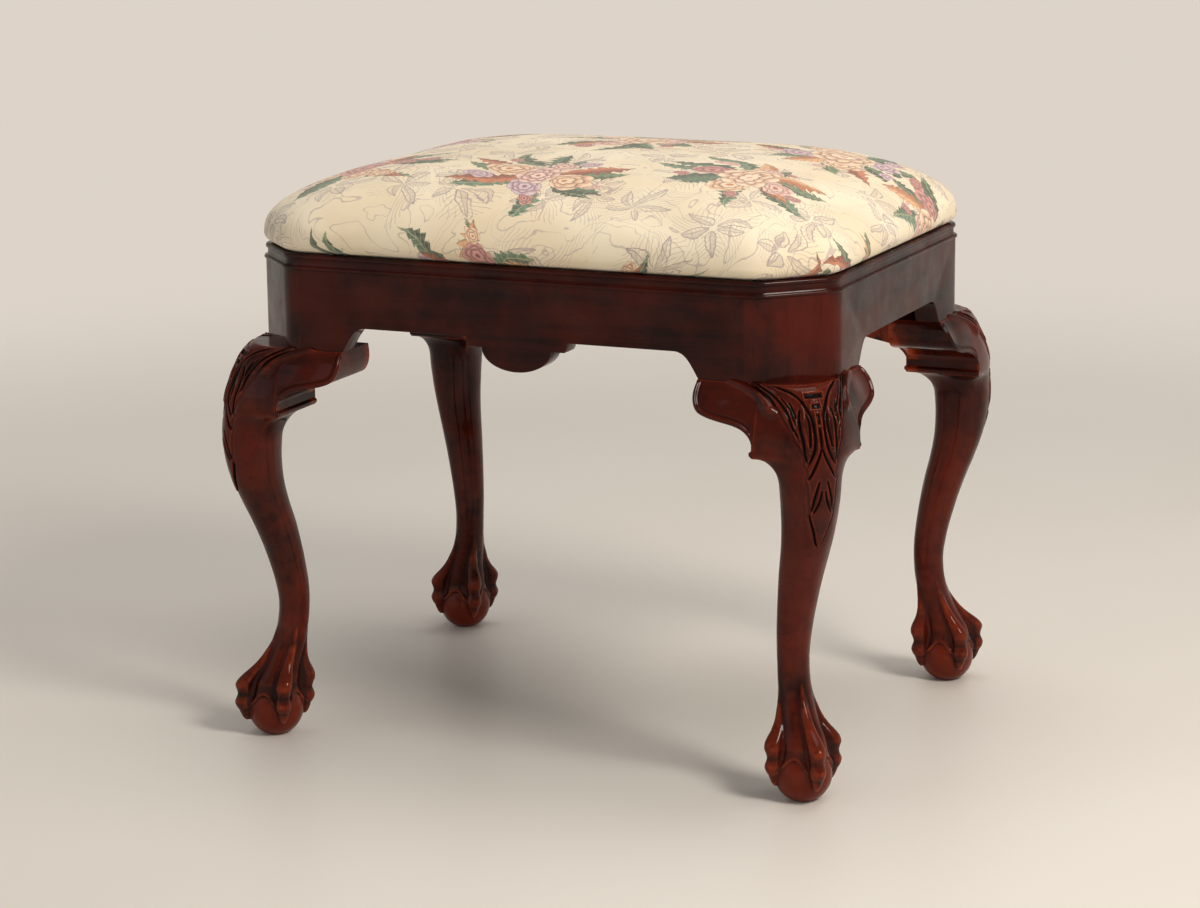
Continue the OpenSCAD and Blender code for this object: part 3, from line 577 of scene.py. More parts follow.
def hump(x, width=1):
    """1 where x is 0, and less on either side."""
    return np.exp(-(x / width)**2)


def smooth_line(line, steps=6):
    """A line of points made into a smooth curve through them."""
    line = np.asarray(line, float)
    if len(line) < 3:
        return line
    at = np.arange(len(line), dtype=float)
    fine_at = np.linspace(0, len(line) - 1, (len(line) - 1) * steps + 1)
    return np.stack([smooth(fine_at, at, line[:, k]) for k in (0, 1)], 1)


# %% The relief
GROUND = {"lift": .95, "margin": 1.4, "groove": .5}
TOP_OPEN = 359                # a cut that starts above this runs on under the post


def relief(points):
    """Height of the carving at each point, in mm, and how deep in a cut it lies, 0 to 1."""
    t = np.abs(points[:, 0] - points[:, 1]) / math.sqrt(2)
    z = points[:, 2]
    flat = np.stack([t, z], 1)
    inside = smooth(z, LEAF_EDGE[:, 0], LEAF_EDGE[:, 1]) - t
    height = GROUND["lift"] * soft_step(inside / 1.3 + .5) * soft_step((z - LEAF_TIP + 1) / 3)
    height -= GROUND["groove"] * hump(inside + GROUND["margin"], 1.1) * (z > LEAF_TIP + 1)
    raised, cut = np.zeros(len(points)), np.zeros(len(points))
    for line, start, end, tall in CORDS:
        d, share = near(flat, smooth_line(line))
        width = start + (end - start) * share
        bulb = 1 + .45 * hump(share - .93, .09) * (tall > 1)
        raised = np.maximum(raised, tall * bulb * np.exp(-(d / width)**2 * 1.2))
    height += raised
    for line, start, end, deep in CUTS:
        d, share = near(flat, smooth_line(line))
        width = (start + (end - start) * share) * (.55 + .9 * np.sin(np.pi * (.12 + .76 * share)))
        ends = soft_step((1 - share) * 9 + .12)
        if line[0][1] <= TOP_OPEN:
            ends = ends * soft_step(share * 9 + .12)
        depth = ends * hump(d, width)
        cut = np.maximum(cut, depth)
        height -= deep * depth
    for half, low, high in PANELS:
        inside = np.minimum(half - t, np.minimum(z - low, high - z))
        well = soft_step(inside / .9 + .2)
        height += .5 * hump(inside + .9, .7) - 1.2 * well
        # Sunk panels count as cuts, so the finish paints them dark: gathered polish and painted
        # shade
        cut = np.maximum(cut, .75 * well)
    return height, cut


print("relief up the leaf's middle, mm:",
      relief(np.array([(0, 0, z) for z in (230, 250, 280, 310, 345)], float))[0].round(2))

# %% Carve the knee
def carve(mesh, where):
    """Moves the points of a mesh along their normals by the relief, and gives the cuts."""
    points, edges = get_points(mesh), get_edges(mesh)
    normals = relaxed(get_normals(mesh), edges, 6, .6)
    normals /= np.linalg.norm(normals, axis=1)[:, None]
    chosen = np.flatnonzero(where(points, normals))
    height, cut = relief(points[chosen])
    points[chosen] += normals[chosen] * height[:, None]
    points[chosen] = eased(points, edges, 1)[chosen]
    set_points(mesh, points)
    cuts = np.zeros(len(points))
    cuts[chosen] = cut
    return cuts


def rounding(mesh, most):
    """How far each point stands out from its neighbours, 0 to 1: where the finish is made lighter,
    for polish rubbed thin and as a painted highlight.
    """
    points, edges = get_points(mesh), get_edges(mesh)
    proud = ((points - spread(points, edges)) * get_normals(mesh)).sum(1)[:, None]
    return np.clip(relaxed(proud, edges, 3)[:, 0] / most, 0, 1)


def on_the_knee(points, normals):
    """Points in front of the knee that look outward and not up."""
    return ((points[:, 2] > 224) & (points[:, 0] + points[:, 1] < 54)
            & (normals[:, 2] < .8) & (normals[:, 0] + normals[:, 1] < .35))


leg_cut = carve(leg_raw.data, on_the_knee)
leg_points = get_points(leg_raw.data)
from_ball = np.linalg.norm(leg_points - [FOOT_IN, FOOT_IN, BALL_Z], axis=1) - BALL_R
ball_share = np.clip(1 - np.abs(from_ball) / .7, 0, 1)
# The cut share darkens the finish: polish gathered in the cuts, and painted shade
set_value(leg_raw.data, "cut", leg_cut)
set_value(leg_raw.data, "ball", ball_share * (leg_points[:, 2] < 46))
# The edge share lightens the finish on proud points: polish rubbed thin, and a painted highlight
set_value(leg_raw.data, "edge", rounding(leg_raw.data, .14))
print("carved", int((leg_cut > .3).sum()), "points in cuts")

# %% [markdown]
# Above the knee the leg's timber runs on as a post, square inside and canted outside, with
# its two upright arrises rounded. The rails' tenons go into it.

# %% Posts
POST_FLAT = 24                # legs of the flat that is planed off the post's inner corner


def post_outline(edge_steps=10):
    tangent = EDGE_R * math.tan(math.radians(22.5))
    turn = np.radians(np.linspace(270, 225, edge_steps))
    centre = (CANT + tangent, EDGE_R)
    first = [(centre[0] + EDGE_R * math.cos(a), centre[1] + EDGE_R * math.sin(a)) for a in turn]
    second = [(y, x) for x, y in reversed(first)]
    flat = POST_W - POST_FLAT
    return [(POST_W, 0), *first, *second, (0, POST_W), (flat, POST_W), (POST_W, flat)]


section = np.array(post_outline())[::-1]
post_levels = [KNEE_TOP - 1.2, *np.linspace(KNEE_TOP, RAIL_TOP, 12)]
post = stack("post", [level_ring(section, z) for z in post_levels])
leg_master = joined("leg_master", leg_raw, post)
legs = {}
for corner in CORNERS:
    legs[corner] = shade(at_corner(leg_master, "carved_leg_" + corner, corner), 50)
    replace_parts(legs[corner], "leg_" + corner)
    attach(legs[corner], "frame")
bpy.data.objects.remove(leg_master)
print("legs:", {k: len(v.data.polygons) for k, v in legs.items()})

# %% [markdown]
# A knee block is glued on either side of each knee, to carry its curve out under the rail. It
# is sawn to a scroll, and its face follows the knee. A narrow bead runs along the scrolled
# edge. Rows of points run from the seam with the leg out to that edge, so the bead follows
# the rows' ends, whatever the curve does.

# %% The face of a knee block
EAR_W, EAR_H = 57, KNEE_TOP - SHOULDER_H
EAR_ROWS, EAR_COLUMNS = ((190, 64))
scroll = np.vstack([
    bezier((1, 1), (1.05, .80), (1.0, .62), (.88, .565)),
    bezier((.88, .565), (.68, .47), (.36, .47), (.20, .39))[1:],
    bezier((.20, .39), (.10, .34), (.01, .24), (.015, .14))[1:],
    bezier((.015, .14), (.02, .08), (.09, .11), (.06, .03))[1:],
    [(0.0, 0.0)]]) * (EAR_W, EAR_H) + (BLOCK, SHOULDER_H)
scroll_run = np.concatenate([[0], np.cumsum(np.hypot(*np.diff(scroll, axis=0).T))])
even = np.linspace(0, scroll_run[-1], EAR_ROWS)
edge_line = np.stack([np.interp(even, scroll_run, scroll[:, k]) for k in (0, 1)], 1)
seam_z = np.interp(even, [0, scroll_run[-1]], [KNEE_TOP, SHOULDER_H])
seam_z = np.maximum(seam_z, edge_line[:, 1])[:, None]
run_in = 1 - (1 - np.linspace(0, 1, EAR_COLUMNS))**1.5
u = BLOCK + (edge_line[:, :1] - BLOCK) * run_in
z = seam_z + (edge_line[:, 1:] - seam_z) * run_in
face = np.stack([u, -shoulder_out(z), z], 2)
rim = near(face[:, :, [0, 2]].reshape(-1, 2), edge_line)[0].reshape(u.shape)
print("knee block face:", face.shape)

# %% Bead, dish and carving
BEAD_IN, GROOVE_IN = 2.1, 4.9          # how far the bead and its groove lie from the edge
shown = soft_step((u - BLOCK) / 5) * soft_step((KNEE_TOP - z) / 2.5)
bead = 1.15 * hump(rim - BEAD_IN, 1.25) - .75 * hump(rim - GROOVE_IN, 1.3) - 1.0 * hump(rim, .55)
dish = -1.5 * soft_step(rim / 9) * np.exp(-((u - 88) / 15)**2 - ((z - 347) / 12)**2)
carving, cut = (part.reshape(u.shape) for part in relief(face.reshape(-1, 3)))
normal = np.cross(np.gradient(face, axis=1), np.gradient(face, axis=0))
normal /= np.linalg.norm(normal, axis=2)[:, :, None].clip(1e-9)
normal *= np.where(normal[:, :, 1:2] > 0, -1, 1)
lift = bead * shown + dish + carving
face = face + normal * lift[:, :, None]
# The groove beside the bead counts as a cut, so the finish paints it dark: gathered polish and
# painted shade
cut = np.maximum(cut, .55 * hump(rim - GROOVE_IN, 1.1) * shown)
print("relief", round(float(lift.min()), 2), "to", round(float(lift.max()), 2), "mm")

# %% The solid block
rows, columns = EAR_ROWS, EAR_COLUMNS
block_points = [face.reshape(-1, 3)]
edge_ids = [[r * columns + columns - 1 for r in range(rows)]]
rim_u, rim_v = face[:, -1, 0], face[:, -1, 1]
for k, share in enumerate(np.linspace(0, 1, 12)[1:]):
    straight = share if k == 0 else 1      # the first row eases from the face to the sawn edge
    block_points.append(np.stack([rim_u + (edge_line[:, 0] - rim_u) * straight,
                                  rim_v + (BLOCK - rim_v) * share, edge_line[:, 1]], 1))
    edge_ids.append([(columns + k) * rows + r for r in range(rows)])
back = rows * (columns + k + 1)
block_points = np.vstack([*block_points, [(BLOCK, BLOCK, KNEE_TOP)]])
faces = grid_faces(rows, columns, wrap=False)
for a, b in zip(edge_ids[:-1], edge_ids[1:]):
    faces += [[a[r], b[r], b[r + 1], a[r + 1]] for r in range(rows - 1)]
seam = [r * columns for r in range(rows)]
faces += [[back, *edge_ids[-1]],                                           # inside the frame
          [*seam, *[ids[-1] for ids in edge_ids[1:]], back],               # against the leg
          [*range(columns), *[ids[0] for ids in edge_ids[1:]], back]]      # under the rail
block_master = mesh_object("block_master", block_points, faces)
# The cut share darkens the finish: polish gathered in the cuts, and painted shade
set_value(block_master.data, "cut", np.pad(cut.ravel(), (0, len(block_points) - cut.size)))
# The edge share lightens the finish on proud points: polish rubbed thin, and a painted highlight
set_value(block_master.data, "edge", rounding(block_master.data, .35))
open_edges = facing_out(block_master, weld=.02)
knee_blocks = []
for corner in CORNERS:
    for side in ("long", "short"):
        piece = at_corner(block_master, "scrolled_block_%s_%s" % (corner, side), corner,
                          swap=side == "short")
        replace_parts(shade(piece, 42), "knee_block_%s_%s" % (corner, side))
        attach(piece, "frame")
        knee_blocks.append(piece)
bpy.data.objects.remove(block_master)
print("knee blocks:", len(knee_blocks), "open edges", open_edges)

# %% [markdown]
# ## The rails
#
# The long rails have a shaped drop in the middle, and all four curve down to the knees at
# their ends. A rail is an outline with a thickness, and a bevel takes the hard edge off, as
# glasspaper does.

# %% Rails
ARCH_H, ARCH_W = 22, 23       # the rise of the curve at a rail's end, and its width
ARCH_IN = 105                 # where that curve starts, from the end of the frame
DROP_R, DROP_H, DROP_UP = 32.5, 19.8, 8.5


def rail_outline(half, drop):
    """Half of the rail's outline from the middle of its lower edge, and its mirror image."""
    low = KNEE_TOP + ARCH_H
    right = []
    if drop:
        turn = np.linspace(0, math.pi / 2, 26)
        right += [(DROP_R * math.sin(a), low - DROP_UP - DROP_H * math.cos(a)) for a in turn]
        right += [(45.0, low - DROP_UP), (46.2, low - 6.6), (48, low)]
    else:
        right.append((0, low))
    curve = bezier((0, 0), (.35, .62), (.50, 1), (1, 1), 26)[::-1]
    right += [(half - ARCH_IN - ARCH_W * x, KNEE_TOP + ARCH_H * y) for x, y in curve]
    right += [(half - POST_W, KNEE_TOP), (half - POST_W, RAIL_TOP)]
    left = [(-x, z) for x, z in reversed(right) if x > 0]
    return right + left


def rail(name, half, face, axis, side, drop):
    """A rail that runs along axis 0 or 1, with its face on one side of the frame."""
    outline = rail_outline(half, drop)
    n = len(outline)
    points = []
    for depth in (0, RAIL_T):
        for x, z in outline:
            y = side * (face - depth)
            points.append((x, y, z) if axis == 0 else (y, x, z))
    faces = [list(range(n)), list(range(2 * n - 1, n - 1, -1))]
    faces += [[(k + 1) % n, k, n + k, n + (k + 1) % n] for k in range(n)]
    obj = mesh_object(name, points, faces)
    facing_out(obj)

    def worn_arris(edge):
        """A sharp lower edge of the rail's faces, away from its ends."""
        a, b = edge.verts
        return (abs(edge.calc_face_angle(0)) > 1.2
                and max(a.co.z, b.co.z) < (RAIL_TOP - 1) * MM
                and abs(a.co[1 - axis] - b.co[1 - axis]) < 1e-6
                and max(abs(a.co[axis]), abs(b.co[axis])) < (half - POST_W - .5) * MM)

    work = bmesh.new()
    work.from_mesh(obj.data)
    bmesh.ops.bevel(work, geom=[e for e in work.edges if worn_arris(e)], offset=.9 * MM,
                    segments=3, affect="EDGES", profile=.5)
    bmesh.ops.triangulate(work, faces=[f for f in work.faces if len(f.verts) > 4])
    work.to_mesh(obj.data)
    work.free()
    return shade(obj, 40)


rails = {
    "front": rail("shaped_rail_front", FRAME_W / 2, FRAME_D / 2, 0, -1, True),
    "back": rail("shaped_rail_back", FRAME_W / 2, FRAME_D / 2, 0, 1, True),
    "left": rail("shaped_rail_left", FRAME_D / 2, FRAME_W / 2, 1, -1, False),
    "right": rail("shaped_rail_right", FRAME_D / 2, FRAME_W / 2, 1, 1, False),
}
for side, piece in rails.items():
    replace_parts(piece, "rail_" + side)
    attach(piece, "frame")
print("rails:", {k: len(v.data.polygons) for k, v in rails.items()})

# %% [markdown]
# ## Node trees
#
# The moulding, the screws and every finish are made by node trees. Two small classes keep them
# readable. The first is a value that comes out of a node. Values can be added and multiplied
# like numbers, and each sum adds a Math node.

# %% A value in a node tree
class Value:
    """A node's output."""

    def __init__(self, net, socket):
        self.net, self.socket = net, socket

    def __add__(self, other):
        return self.net.math("ADD", self, other)

    def __sub__(self, other):
        return self.net.math("SUBTRACT", self, other)

    def __rsub__(self, other):
        return self.net.math("SUBTRACT", other, self)

    def __mul__(self, other):
        return self.net.math("MULTIPLY", self, other)

    def __truediv__(self, other):
        return self.net.math("DIVIDE", self, other)

    def siblings(self):
        """Every output of the same node, in order and by name."""
        return {socket.name: Value(self.net, socket) for socket in self.socket.node.outputs}


def colour(rgb):
    """A colour written as on a paint chart, 0 to 255, made linear for the renderer."""
    part = [c / 255 for c in rgb]
    return (*[c / 12.92 if c < .04045 else ((c + .055) / 1.055)**2.4 for c in part], 1)


print("mid grey, linear:", round(colour((128, 128, 128))[0], 3))

# %% [markdown]
# The second class is the tree itself. Each method adds one node, wires what it is given and
# hands back the value that comes out.

# %% A node tree
class Net:
    """A node tree and the ways to add to it."""

    def __init__(self, tree):
        self.tree = tree

    def put(self, socket, value):
        if isinstance(value, Value):
            self.tree.links.new(value.socket, socket)
        elif value is not None:
            socket.default_value = value

    def fill(self, node, **inputs):
        """Gives a node its inputs by name, with _ for a space."""
        for key, value in inputs.items():
            self.put(node.inputs[key.replace("_", " ")], value)

    def node(self, kind, out=0, inputs=None, **settings):
        made = self.tree.nodes.new(kind)
        for key, value in settings.items():
            setattr(made, key, value)
        for key, value in (inputs or {}).items():
            self.put(made.inputs[key], value)
        return Value(self, made.outputs[out])

    def math(self, op, a, b=None, c=None, clamp=False):
        return self.node("ShaderNodeMath", 0, {0: a, 1: b, 2: c}, operation=op, use_clamp=clamp)

    def vector(self, op, a, b=None, scale=None, out=0):
        return self.node("ShaderNodeVectorMath", out, {0: a, 1: b, 3: scale}, operation=op)

    def point(self, x=0.0, y=0.0, z=0.0):
        return self.node("ShaderNodeCombineXYZ", 0, {0: x, 1: y, 2: z})

    def parts(self, value, kind="XYZ"):
        """The three numbers of a vector, or of a colour."""
        return list(self.node("ShaderNodeSeparate" + kind, 0, {0: value}).siblings().values())

    def turn(self, value, angle):
        return self.node("ShaderNodeVectorRotate", 0, {"Vector": value, "Angle": angle},
                         rotation_type="Z_AXIS")

    def blend(self, share, a, b):
        a, b = (colour(side) if isinstance(side, tuple) else side for side in (a, b))
        return self.node("ShaderNodeMix", "Result", {"Factor": share, "A": a, "B": b},
                         data_type="RGBA")

    def step(self, value, low, high, to_low=0.0, to_high=1.0):
        """A soft rise from one value to another while the input goes from low to high."""
        return self.node("ShaderNodeMapRange", 0, {
            "Value": value, "From Min": low, "From Max": high, "To Min": to_low,
            "To Max": to_high}, interpolation_type="SMOOTHSTEP")

    def noise(self, where, scale, detail=3, rough=.5, twist=0.0, out=0):
        return self.node("ShaderNodeTexNoise", out, {
            "Vector": where, "Scale": scale, "Detail": detail, "Roughness": rough,
            "Distortion": twist})

    def line(self, value, low, high, strength=1.0):
        """A drawn line where the value crosses 0, gone by the time it is as far off as high."""
        return self.step(self.math("ABSOLUTE", value), low, high, strength, 0.0)

    def attribute(self, name, out="Fac"):
        return self.node("ShaderNodeAttribute", out, attribute_name=name)

    def bump(self, height, strength, distance):
        return self.node("ShaderNodeBump", 0, {
            "Strength": strength, "Distance": distance, "Height": height})

    def group(self, tree, **inputs):
        made = self.tree.nodes.new("ShaderNodeGroup")
        made.node_tree = tree
        self.fill(made, **inputs)
        return Value(self, made.outputs[0]).siblings()


print("ways to add to a tree:", ", ".join(k for k in vars(Net) if not k.startswith("_")))

# %% [markdown]
# A tree that is used more than once, or that makes geometry, is a group with named inputs. A
# tree for geometry is run on an object, which leaves a plain mesh.

# %% Groups and trees that make geometry
def node_group(name, inputs, outputs, kind="ShaderNodeTree"):
    """A named tree: sockets in as (label, kind, value if any), sockets out as (label, kind)."""
    tree = bpy.data.node_groups.new(name, kind)
    for label, socket, *value in inputs:
        item = tree.interface.new_socket(label, in_out="INPUT", socket_type="NodeSocket" + socket)
        if value:
            item.default_value = value[0]
    for label, socket in outputs:
        tree.interface.new_socket(label, in_out="OUTPUT", socket_type="NodeSocket" + socket)
    net = Net(tree)
    given = Value(net, tree.nodes.new("NodeGroupInput").outputs[0]).siblings()
    return tree, net, given, tree.nodes.new("NodeGroupOutput")


def end_tree(net, given, out, made):
    """A geometry tree ends in real geometry with a material."""
    real = net.node("GeometryNodeRealizeInstances", 0, {"Geometry": made})
    net.fill(out, Geometry=net.node("GeometryNodeSetMaterial", 0, {
        "Geometry": real, "Material": given["Finish"]}))


def run_nodes(obj, tree, **values):
    """The mesh that a tree makes of an object, which is removed, with the tree's inputs set."""
    modifier = obj.modifiers.new("nodes", "NODES")
    modifier.node_group = tree
    for item in tree.interface.items_tree:
        if item.item_type == "SOCKET" and item.in_out == "INPUT" and item.name in values:
            modifier[item.identifier] = values[item.name]
    mesh = finished_mesh(obj)
    name, old = obj.name, obj.data
    bpy.data.objects.remove(obj)
    if isinstance(old, bpy.types.Curve):
        bpy.data.curves.remove(old)
    return link(name, mesh)


# %% [markdown]
# ## The moulding
#
# A strip of moulding stands on the rails and hides the seat's edge: a bead, a hollow and a
# second bead. A joiner planes it in lengths and mitres it round the canted corners. It is one
# profile that follows one path, which is what Curve to Mesh in Geometry Nodes is for.

# %% A tree for a profile along a path
sweep, net, given, out = node_group(
    "profile_along_path",
    [("Geometry", "Geometry"), ("Profile", "Object"), ("Finish", "Material")],
    [("Geometry", "Geometry")], "GeometryNodeTree")
upright = net.node("GeometryNodeSetCurveNormal", 0, {"Curve": given["Geometry"]}, mode="Z_UP")
shape = net.node("GeometryNodeObjectInfo", "Geometry", {"Object": given["Profile"]})
end_tree(net, given, out, net.node("GeometryNodeCurveToMesh", 0, {
    "Curve": upright, "Profile Curve": shape}))
print("sweep:", len(sweep.nodes), "nodes")


# %% The moulding
def closed_curve(name, points):
    data = bpy.data.curves.new(name, "CURVE")
    data.dimensions = "3D"
    spline = data.splines.new("POLY")
    spline.points.add(len(points) - 1)
    spline.points.foreach_set("co", np.column_stack([np.asarray(points) * MM,
                                                     np.ones(len(points))]).ravel())
    spline.use_cyclic_u = True
    return link(name, data)


def rounded_frame(inset=0.0, radius=EDGE_R, steps=9):
    """The frame's canted outline, anticlockwise, with its eight angles rounded."""
    a, b = FRAME_W / 2 - inset, FRAME_D / 2 - inset
    c = CANT - inset * (2 - math.sqrt(2))
    quarter = [(a, b - c), (a - c, b)]
    corners = [*quarter, *[(-x, y) for x, y in reversed(quarter)]]
    corners += [(-x, -y) for x, y in corners]
    tangent = max(radius - inset, 1.5) * math.tan(math.radians(22.5))
    path = []
    for k, corner in enumerate(corners):
        p = np.array(corner)
        before = np.array(corners[k - 1]) - p
        after = np.array(corners[(k + 1) % 8]) - p
        start = p + before / np.linalg.norm(before) * tangent
        end = p + after / np.linalg.norm(after) * tangent
        for t in np.linspace(0, 1, steps):
            path.append((1 - t)**2 * start + 2 * t * (1 - t) * p + t * t * end)
    return np.array(path)


MOULD_W, MOULD_H, NIB = 9.5, 14, 1.5


def moulding_profile():
    """Bead, hollow and upper bead, then a small chamfer and the straight inner side."""
    foot = bezier((0, 0), (-1.35, .02), (-1.35, .24), (0, .25), 12) * (NIB, MOULD_H)
    size = (MOULD_W, MOULD_H)
    hollow = bezier((.10, .25), (.20, .36), (.22, .52), (.16, .68), 12) * size
    top = bezier((.16, .68), (-.08, .72), (-.02, .99), (.22, 1), 14) * size
    inner = [(MOULD_W - .3, MOULD_H), (MOULD_W, MOULD_H - .3), (MOULD_W, 0)]
    return np.vstack([foot, hollow, top[1:], inner])


frame_path = rounded_frame()
path = closed_curve("moulding", np.column_stack([frame_path, np.full(len(frame_path), RAIL_TOP)]))
outline = moulding_profile()
profile = closed_curve("moulding_profile", np.column_stack([-outline, np.zeros(len(outline))]))
moulding = run_nodes(path, sweep, Profile=profile)
bpy.data.objects.remove(profile)
facing_out(moulding)
shade(moulding, 42)
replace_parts(moulding, *["moulding_" + s for s in ("front", "back", "left", "right")],
            *["moulding_corner_" + c for c in CORNERS])
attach(moulding, "frame")
spans = get_points(moulding.data)
print("moulding:", spans.min(0).round(1), spans.max(0).round(1), len(moulding.data.polygons))

# %% [markdown]
# ## Fasteners, webbing and cloths under the seat
#
# Screws hold the corner blocks to the rails, and tacks hold the black dust cloth under the
# seat. One tree sets a small turned head at every point and aims it along the point's own
# direction, so one list of places makes them all.

# %% A tree for heads set at points
scatter, net, given, out = node_group(
    "heads_at_points",
    [("Geometry", "Geometry"), ("Head", "Object"), ("Finish", "Material")],
    [("Geometry", "Geometry")], "GeometryNodeTree")
head = net.node("GeometryNodeObjectInfo", "Geometry", {"Object": given["Head"]})
aim = net.node("GeometryNodeInputNamedAttribute", "Attribute", {"Name": "aim"},
               data_type="FLOAT_VECTOR")
turned = net.node("FunctionNodeAlignRotationToVector", "Rotation", {"Vector": aim}, axis="Z")
end_tree(net, given, out, net.node("GeometryNodeInstanceOnPoints", 0, {
    "Points": given["Geometry"], "Instance": head, "Rotation": turned}))


def turned_form(name, profile, steps=20, slot=False):
    """A small turned form about z: rows of radius and height, from the lowest up."""
    a = np.linspace(0, 2 * math.pi, steps, endpoint=False)
    rings = [level_ring(np.stack([r * np.cos(a), r * np.sin(a)], 1), z) for r, z in profile]
    obj = stack(name, rings)
    if slot:
        points = get_points(obj.data)
        in_slot = (np.abs(points[:, 0]) < .75) & (points[:, 2] > profile[-1][1] - 1.2)
        points[in_slot, 2] -= 1.0
        set_points(obj.data, points)
    return obj


def heads(name, places, aims, form):
    mesh = bpy.data.meshes.new(name)
    mesh.from_pydata((np.asarray(places, float) * MM).tolist(), [], [])
    set_value(mesh, "aim", aims)
    made = run_nodes(link(name, mesh), scatter, Head=form)
    bpy.data.objects.remove(form)
    return shade(made, 40)


print("scatter:", len(scatter.nodes), "nodes")

# %% Screws and tacks
SCREW_U, SCREW_V, SCREW_Z = 84, 34, 397
screw_places, screw_aims = [], []
for side, end in CORNERS.values():
    for u, v, into in ((SCREW_U, SCREW_V, (0, -end, 0)), (SCREW_V, SCREW_U, (-side, 0, 0))):
        screw_places.append((side * (FRAME_W / 2 - u), end * (FRAME_D / 2 - v), SCREW_Z))
        screw_aims.append(into)
screw_form = turned_form("screw", [
    (1.2, -25), (2.25, -23), (2.25, -.2), (4.2, 0), (4.3, .5), (4.0, 1.4), (3.2, 2.2),
    (2.0, 2.75), (.7, 3.0)], slot=True)
screws = heads("block_screws", screw_places, screw_aims, screw_form)
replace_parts(screws, "corner_block_screws")
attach(screws, "frame")

TACK_IN, TACK_END, TACK_Z = 37, 100, 431.4
tack_x, tack_y = (np.linspace(TACK_END - size / 2, size / 2 - TACK_END, count)
                  for size, count in ((FRAME_W, 6), (FRAME_D, 4)))
tack_places = [(x, y * (FRAME_D / 2 - TACK_IN), TACK_Z) for x in tack_x for y in (-1, 1)]
tack_places += [(x * (FRAME_W / 2 - TACK_IN), y, TACK_Z) for y in tack_y for x in (-1, 1)]
tack_form = turned_form("tack", [
    (.3, -9), (.9, -7), (.9, -.05), (3.9, 0), (3.7, .3), (2.6, .65), (1.2, .78), (.4, .8)], 16)
tacks = heads("dust_tacks", tack_places, [(0, 0, -1)] * len(tack_places), tack_form)
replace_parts(tacks, "dust_cloth_tacks")
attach(tacks, "seat")
print("screws:", len(screw_places), "tacks:", len(tack_places))

# %% [markdown]
# Jute webbing is woven over and under across the seat boards and carries the padding. Each
# strip is a flat ribbon that rises and dips by its own thickness, so it is made directly.
# Over it lies a sheet of hessian, and below the boards a black dust cloth.

# %% Webbing and cloths
BOARD_TOP, WEB_T, WEB_W = 447.2, 1.2, 48
BOARD_W, WEB_PITCH, WEB_ON = 64, 67.2, 30     # a strip runs this far on over a board
web_spaces = (FRAME_W - 2 * BOARD_W, FRAME_D - 2 * BOARD_W)
counts = [int(space // WEB_PITCH) for space in web_spaces]


def web_places(k):
    """The strips' middles across the opening, along axis k."""
    return web_spaces[k] * ((np.arange(counts[k]) + .5) / counts[k] - .5)


def web_strip(k, odd, place):
    """A strip along axis k that goes over every other strip that it meets."""
    half = web_spaces[k] / 2 + WEB_ON
    s = np.linspace(-half, half, 90)
    lift = np.zeros(len(s))
    for j, at in enumerate(web_places(k)):
        if (j + odd) % 2:
            lift = np.maximum(lift, WEB_T * soft_step((38 - np.abs(s - at)) / 10))
    across = np.linspace(-WEB_W / 2, WEB_W / 2, 5)
    rows = []
    for x, up in zip(s, lift):
        low = [(x, y + place, BOARD_TOP + up + .02) for y in across]
        high = [(x, y + place, BOARD_TOP + up + WEB_T - .04) for y in across[::-1]]
        rows.append(low + high)
    rows = np.array(rows)
    if k == 1:
        rows = np.stack([-rows[:, :, 1], rows[:, :, 0], rows[:, :, 2]], 2)
    n = rows.shape[1]
    faces = grid_faces(len(rows), n)
    faces += [list(range(n)), [len(rows) * n - 1 - k for k in range(n)]]
    return mesh_object("strip", rows.reshape(-1, 3), faces)


strips = [web_strip(0, i, y) for i, y in enumerate(web_places(1))]
strips += [web_strip(1, i + 1, -x) for i, x in enumerate(web_places(0))]
webbing = joined("webbing", *strips)
facing_out(webbing)


def canted_sheet(name, inset, low, thick, rings=9):
    """A flat sheet cut to the frame's outline, closed at its edge."""
    outline = rounded_frame(inset, radius=6 + inset, steps=5)
    shares = np.linspace(.06, 1, rings)
    rows = [level_ring(outline * s, low) for s in shares]
    rows += [level_ring(outline * s, low + thick) for s in shares[::-1]]
    return stack(name, rows)


hessian = canted_sheet("hessian", 20, 449.62, .76)
dust_cover = canted_sheet("dust_cover", 29.5, 431.4, .8, 24)
web_run = sum(counts[1 - k] * (web_spaces[k] + 2 * WEB_ON) for k in (0, 1))
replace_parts(webbing, "seat_webbing")
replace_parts(hessian, "seat_hessian")
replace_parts(dust_cover, "dust_cloth")
for piece, slot in ((webbing, "jute"), (hessian, "jute"), (dust_cover, "black_cloth")):
    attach(piece, "seat")
BOARDS = ["seat_board_front", "seat_board_back", "seat_board_left", "seat_board_right"]
web_run * MM
print("webbing:", counts, "strips, run", round(web_run), "mm")

# %% [markdown]
# ## The seat
#
# The drop-in seat is a padded board under a cover pulled tight: one full crown that rolls over
# at the sides and tucks in behind the moulding. Its mesh is a square grid bent to the seat's
# outline, so the squares stay even and no pole shows in the middle. Rings carry on from the
# grid's edge, over the swell, down behind the moulding and under the boards.

# %% The outline of the seat
WIDE_Z, CROWN_H, LIP_Z = 457.5, 59.5, 445.3    # widest line, crown above it, the moulding's top
SKIRT_IN, SEAT_OUT = 10.5, 4.0                 # the tuck behind the moulding, the swell over it
WIDE_SHARP, TUCK_SHARP = 40, 150               # how crisp the outline's angles are
HALF = 38                # squares from the grid's middle to its edge


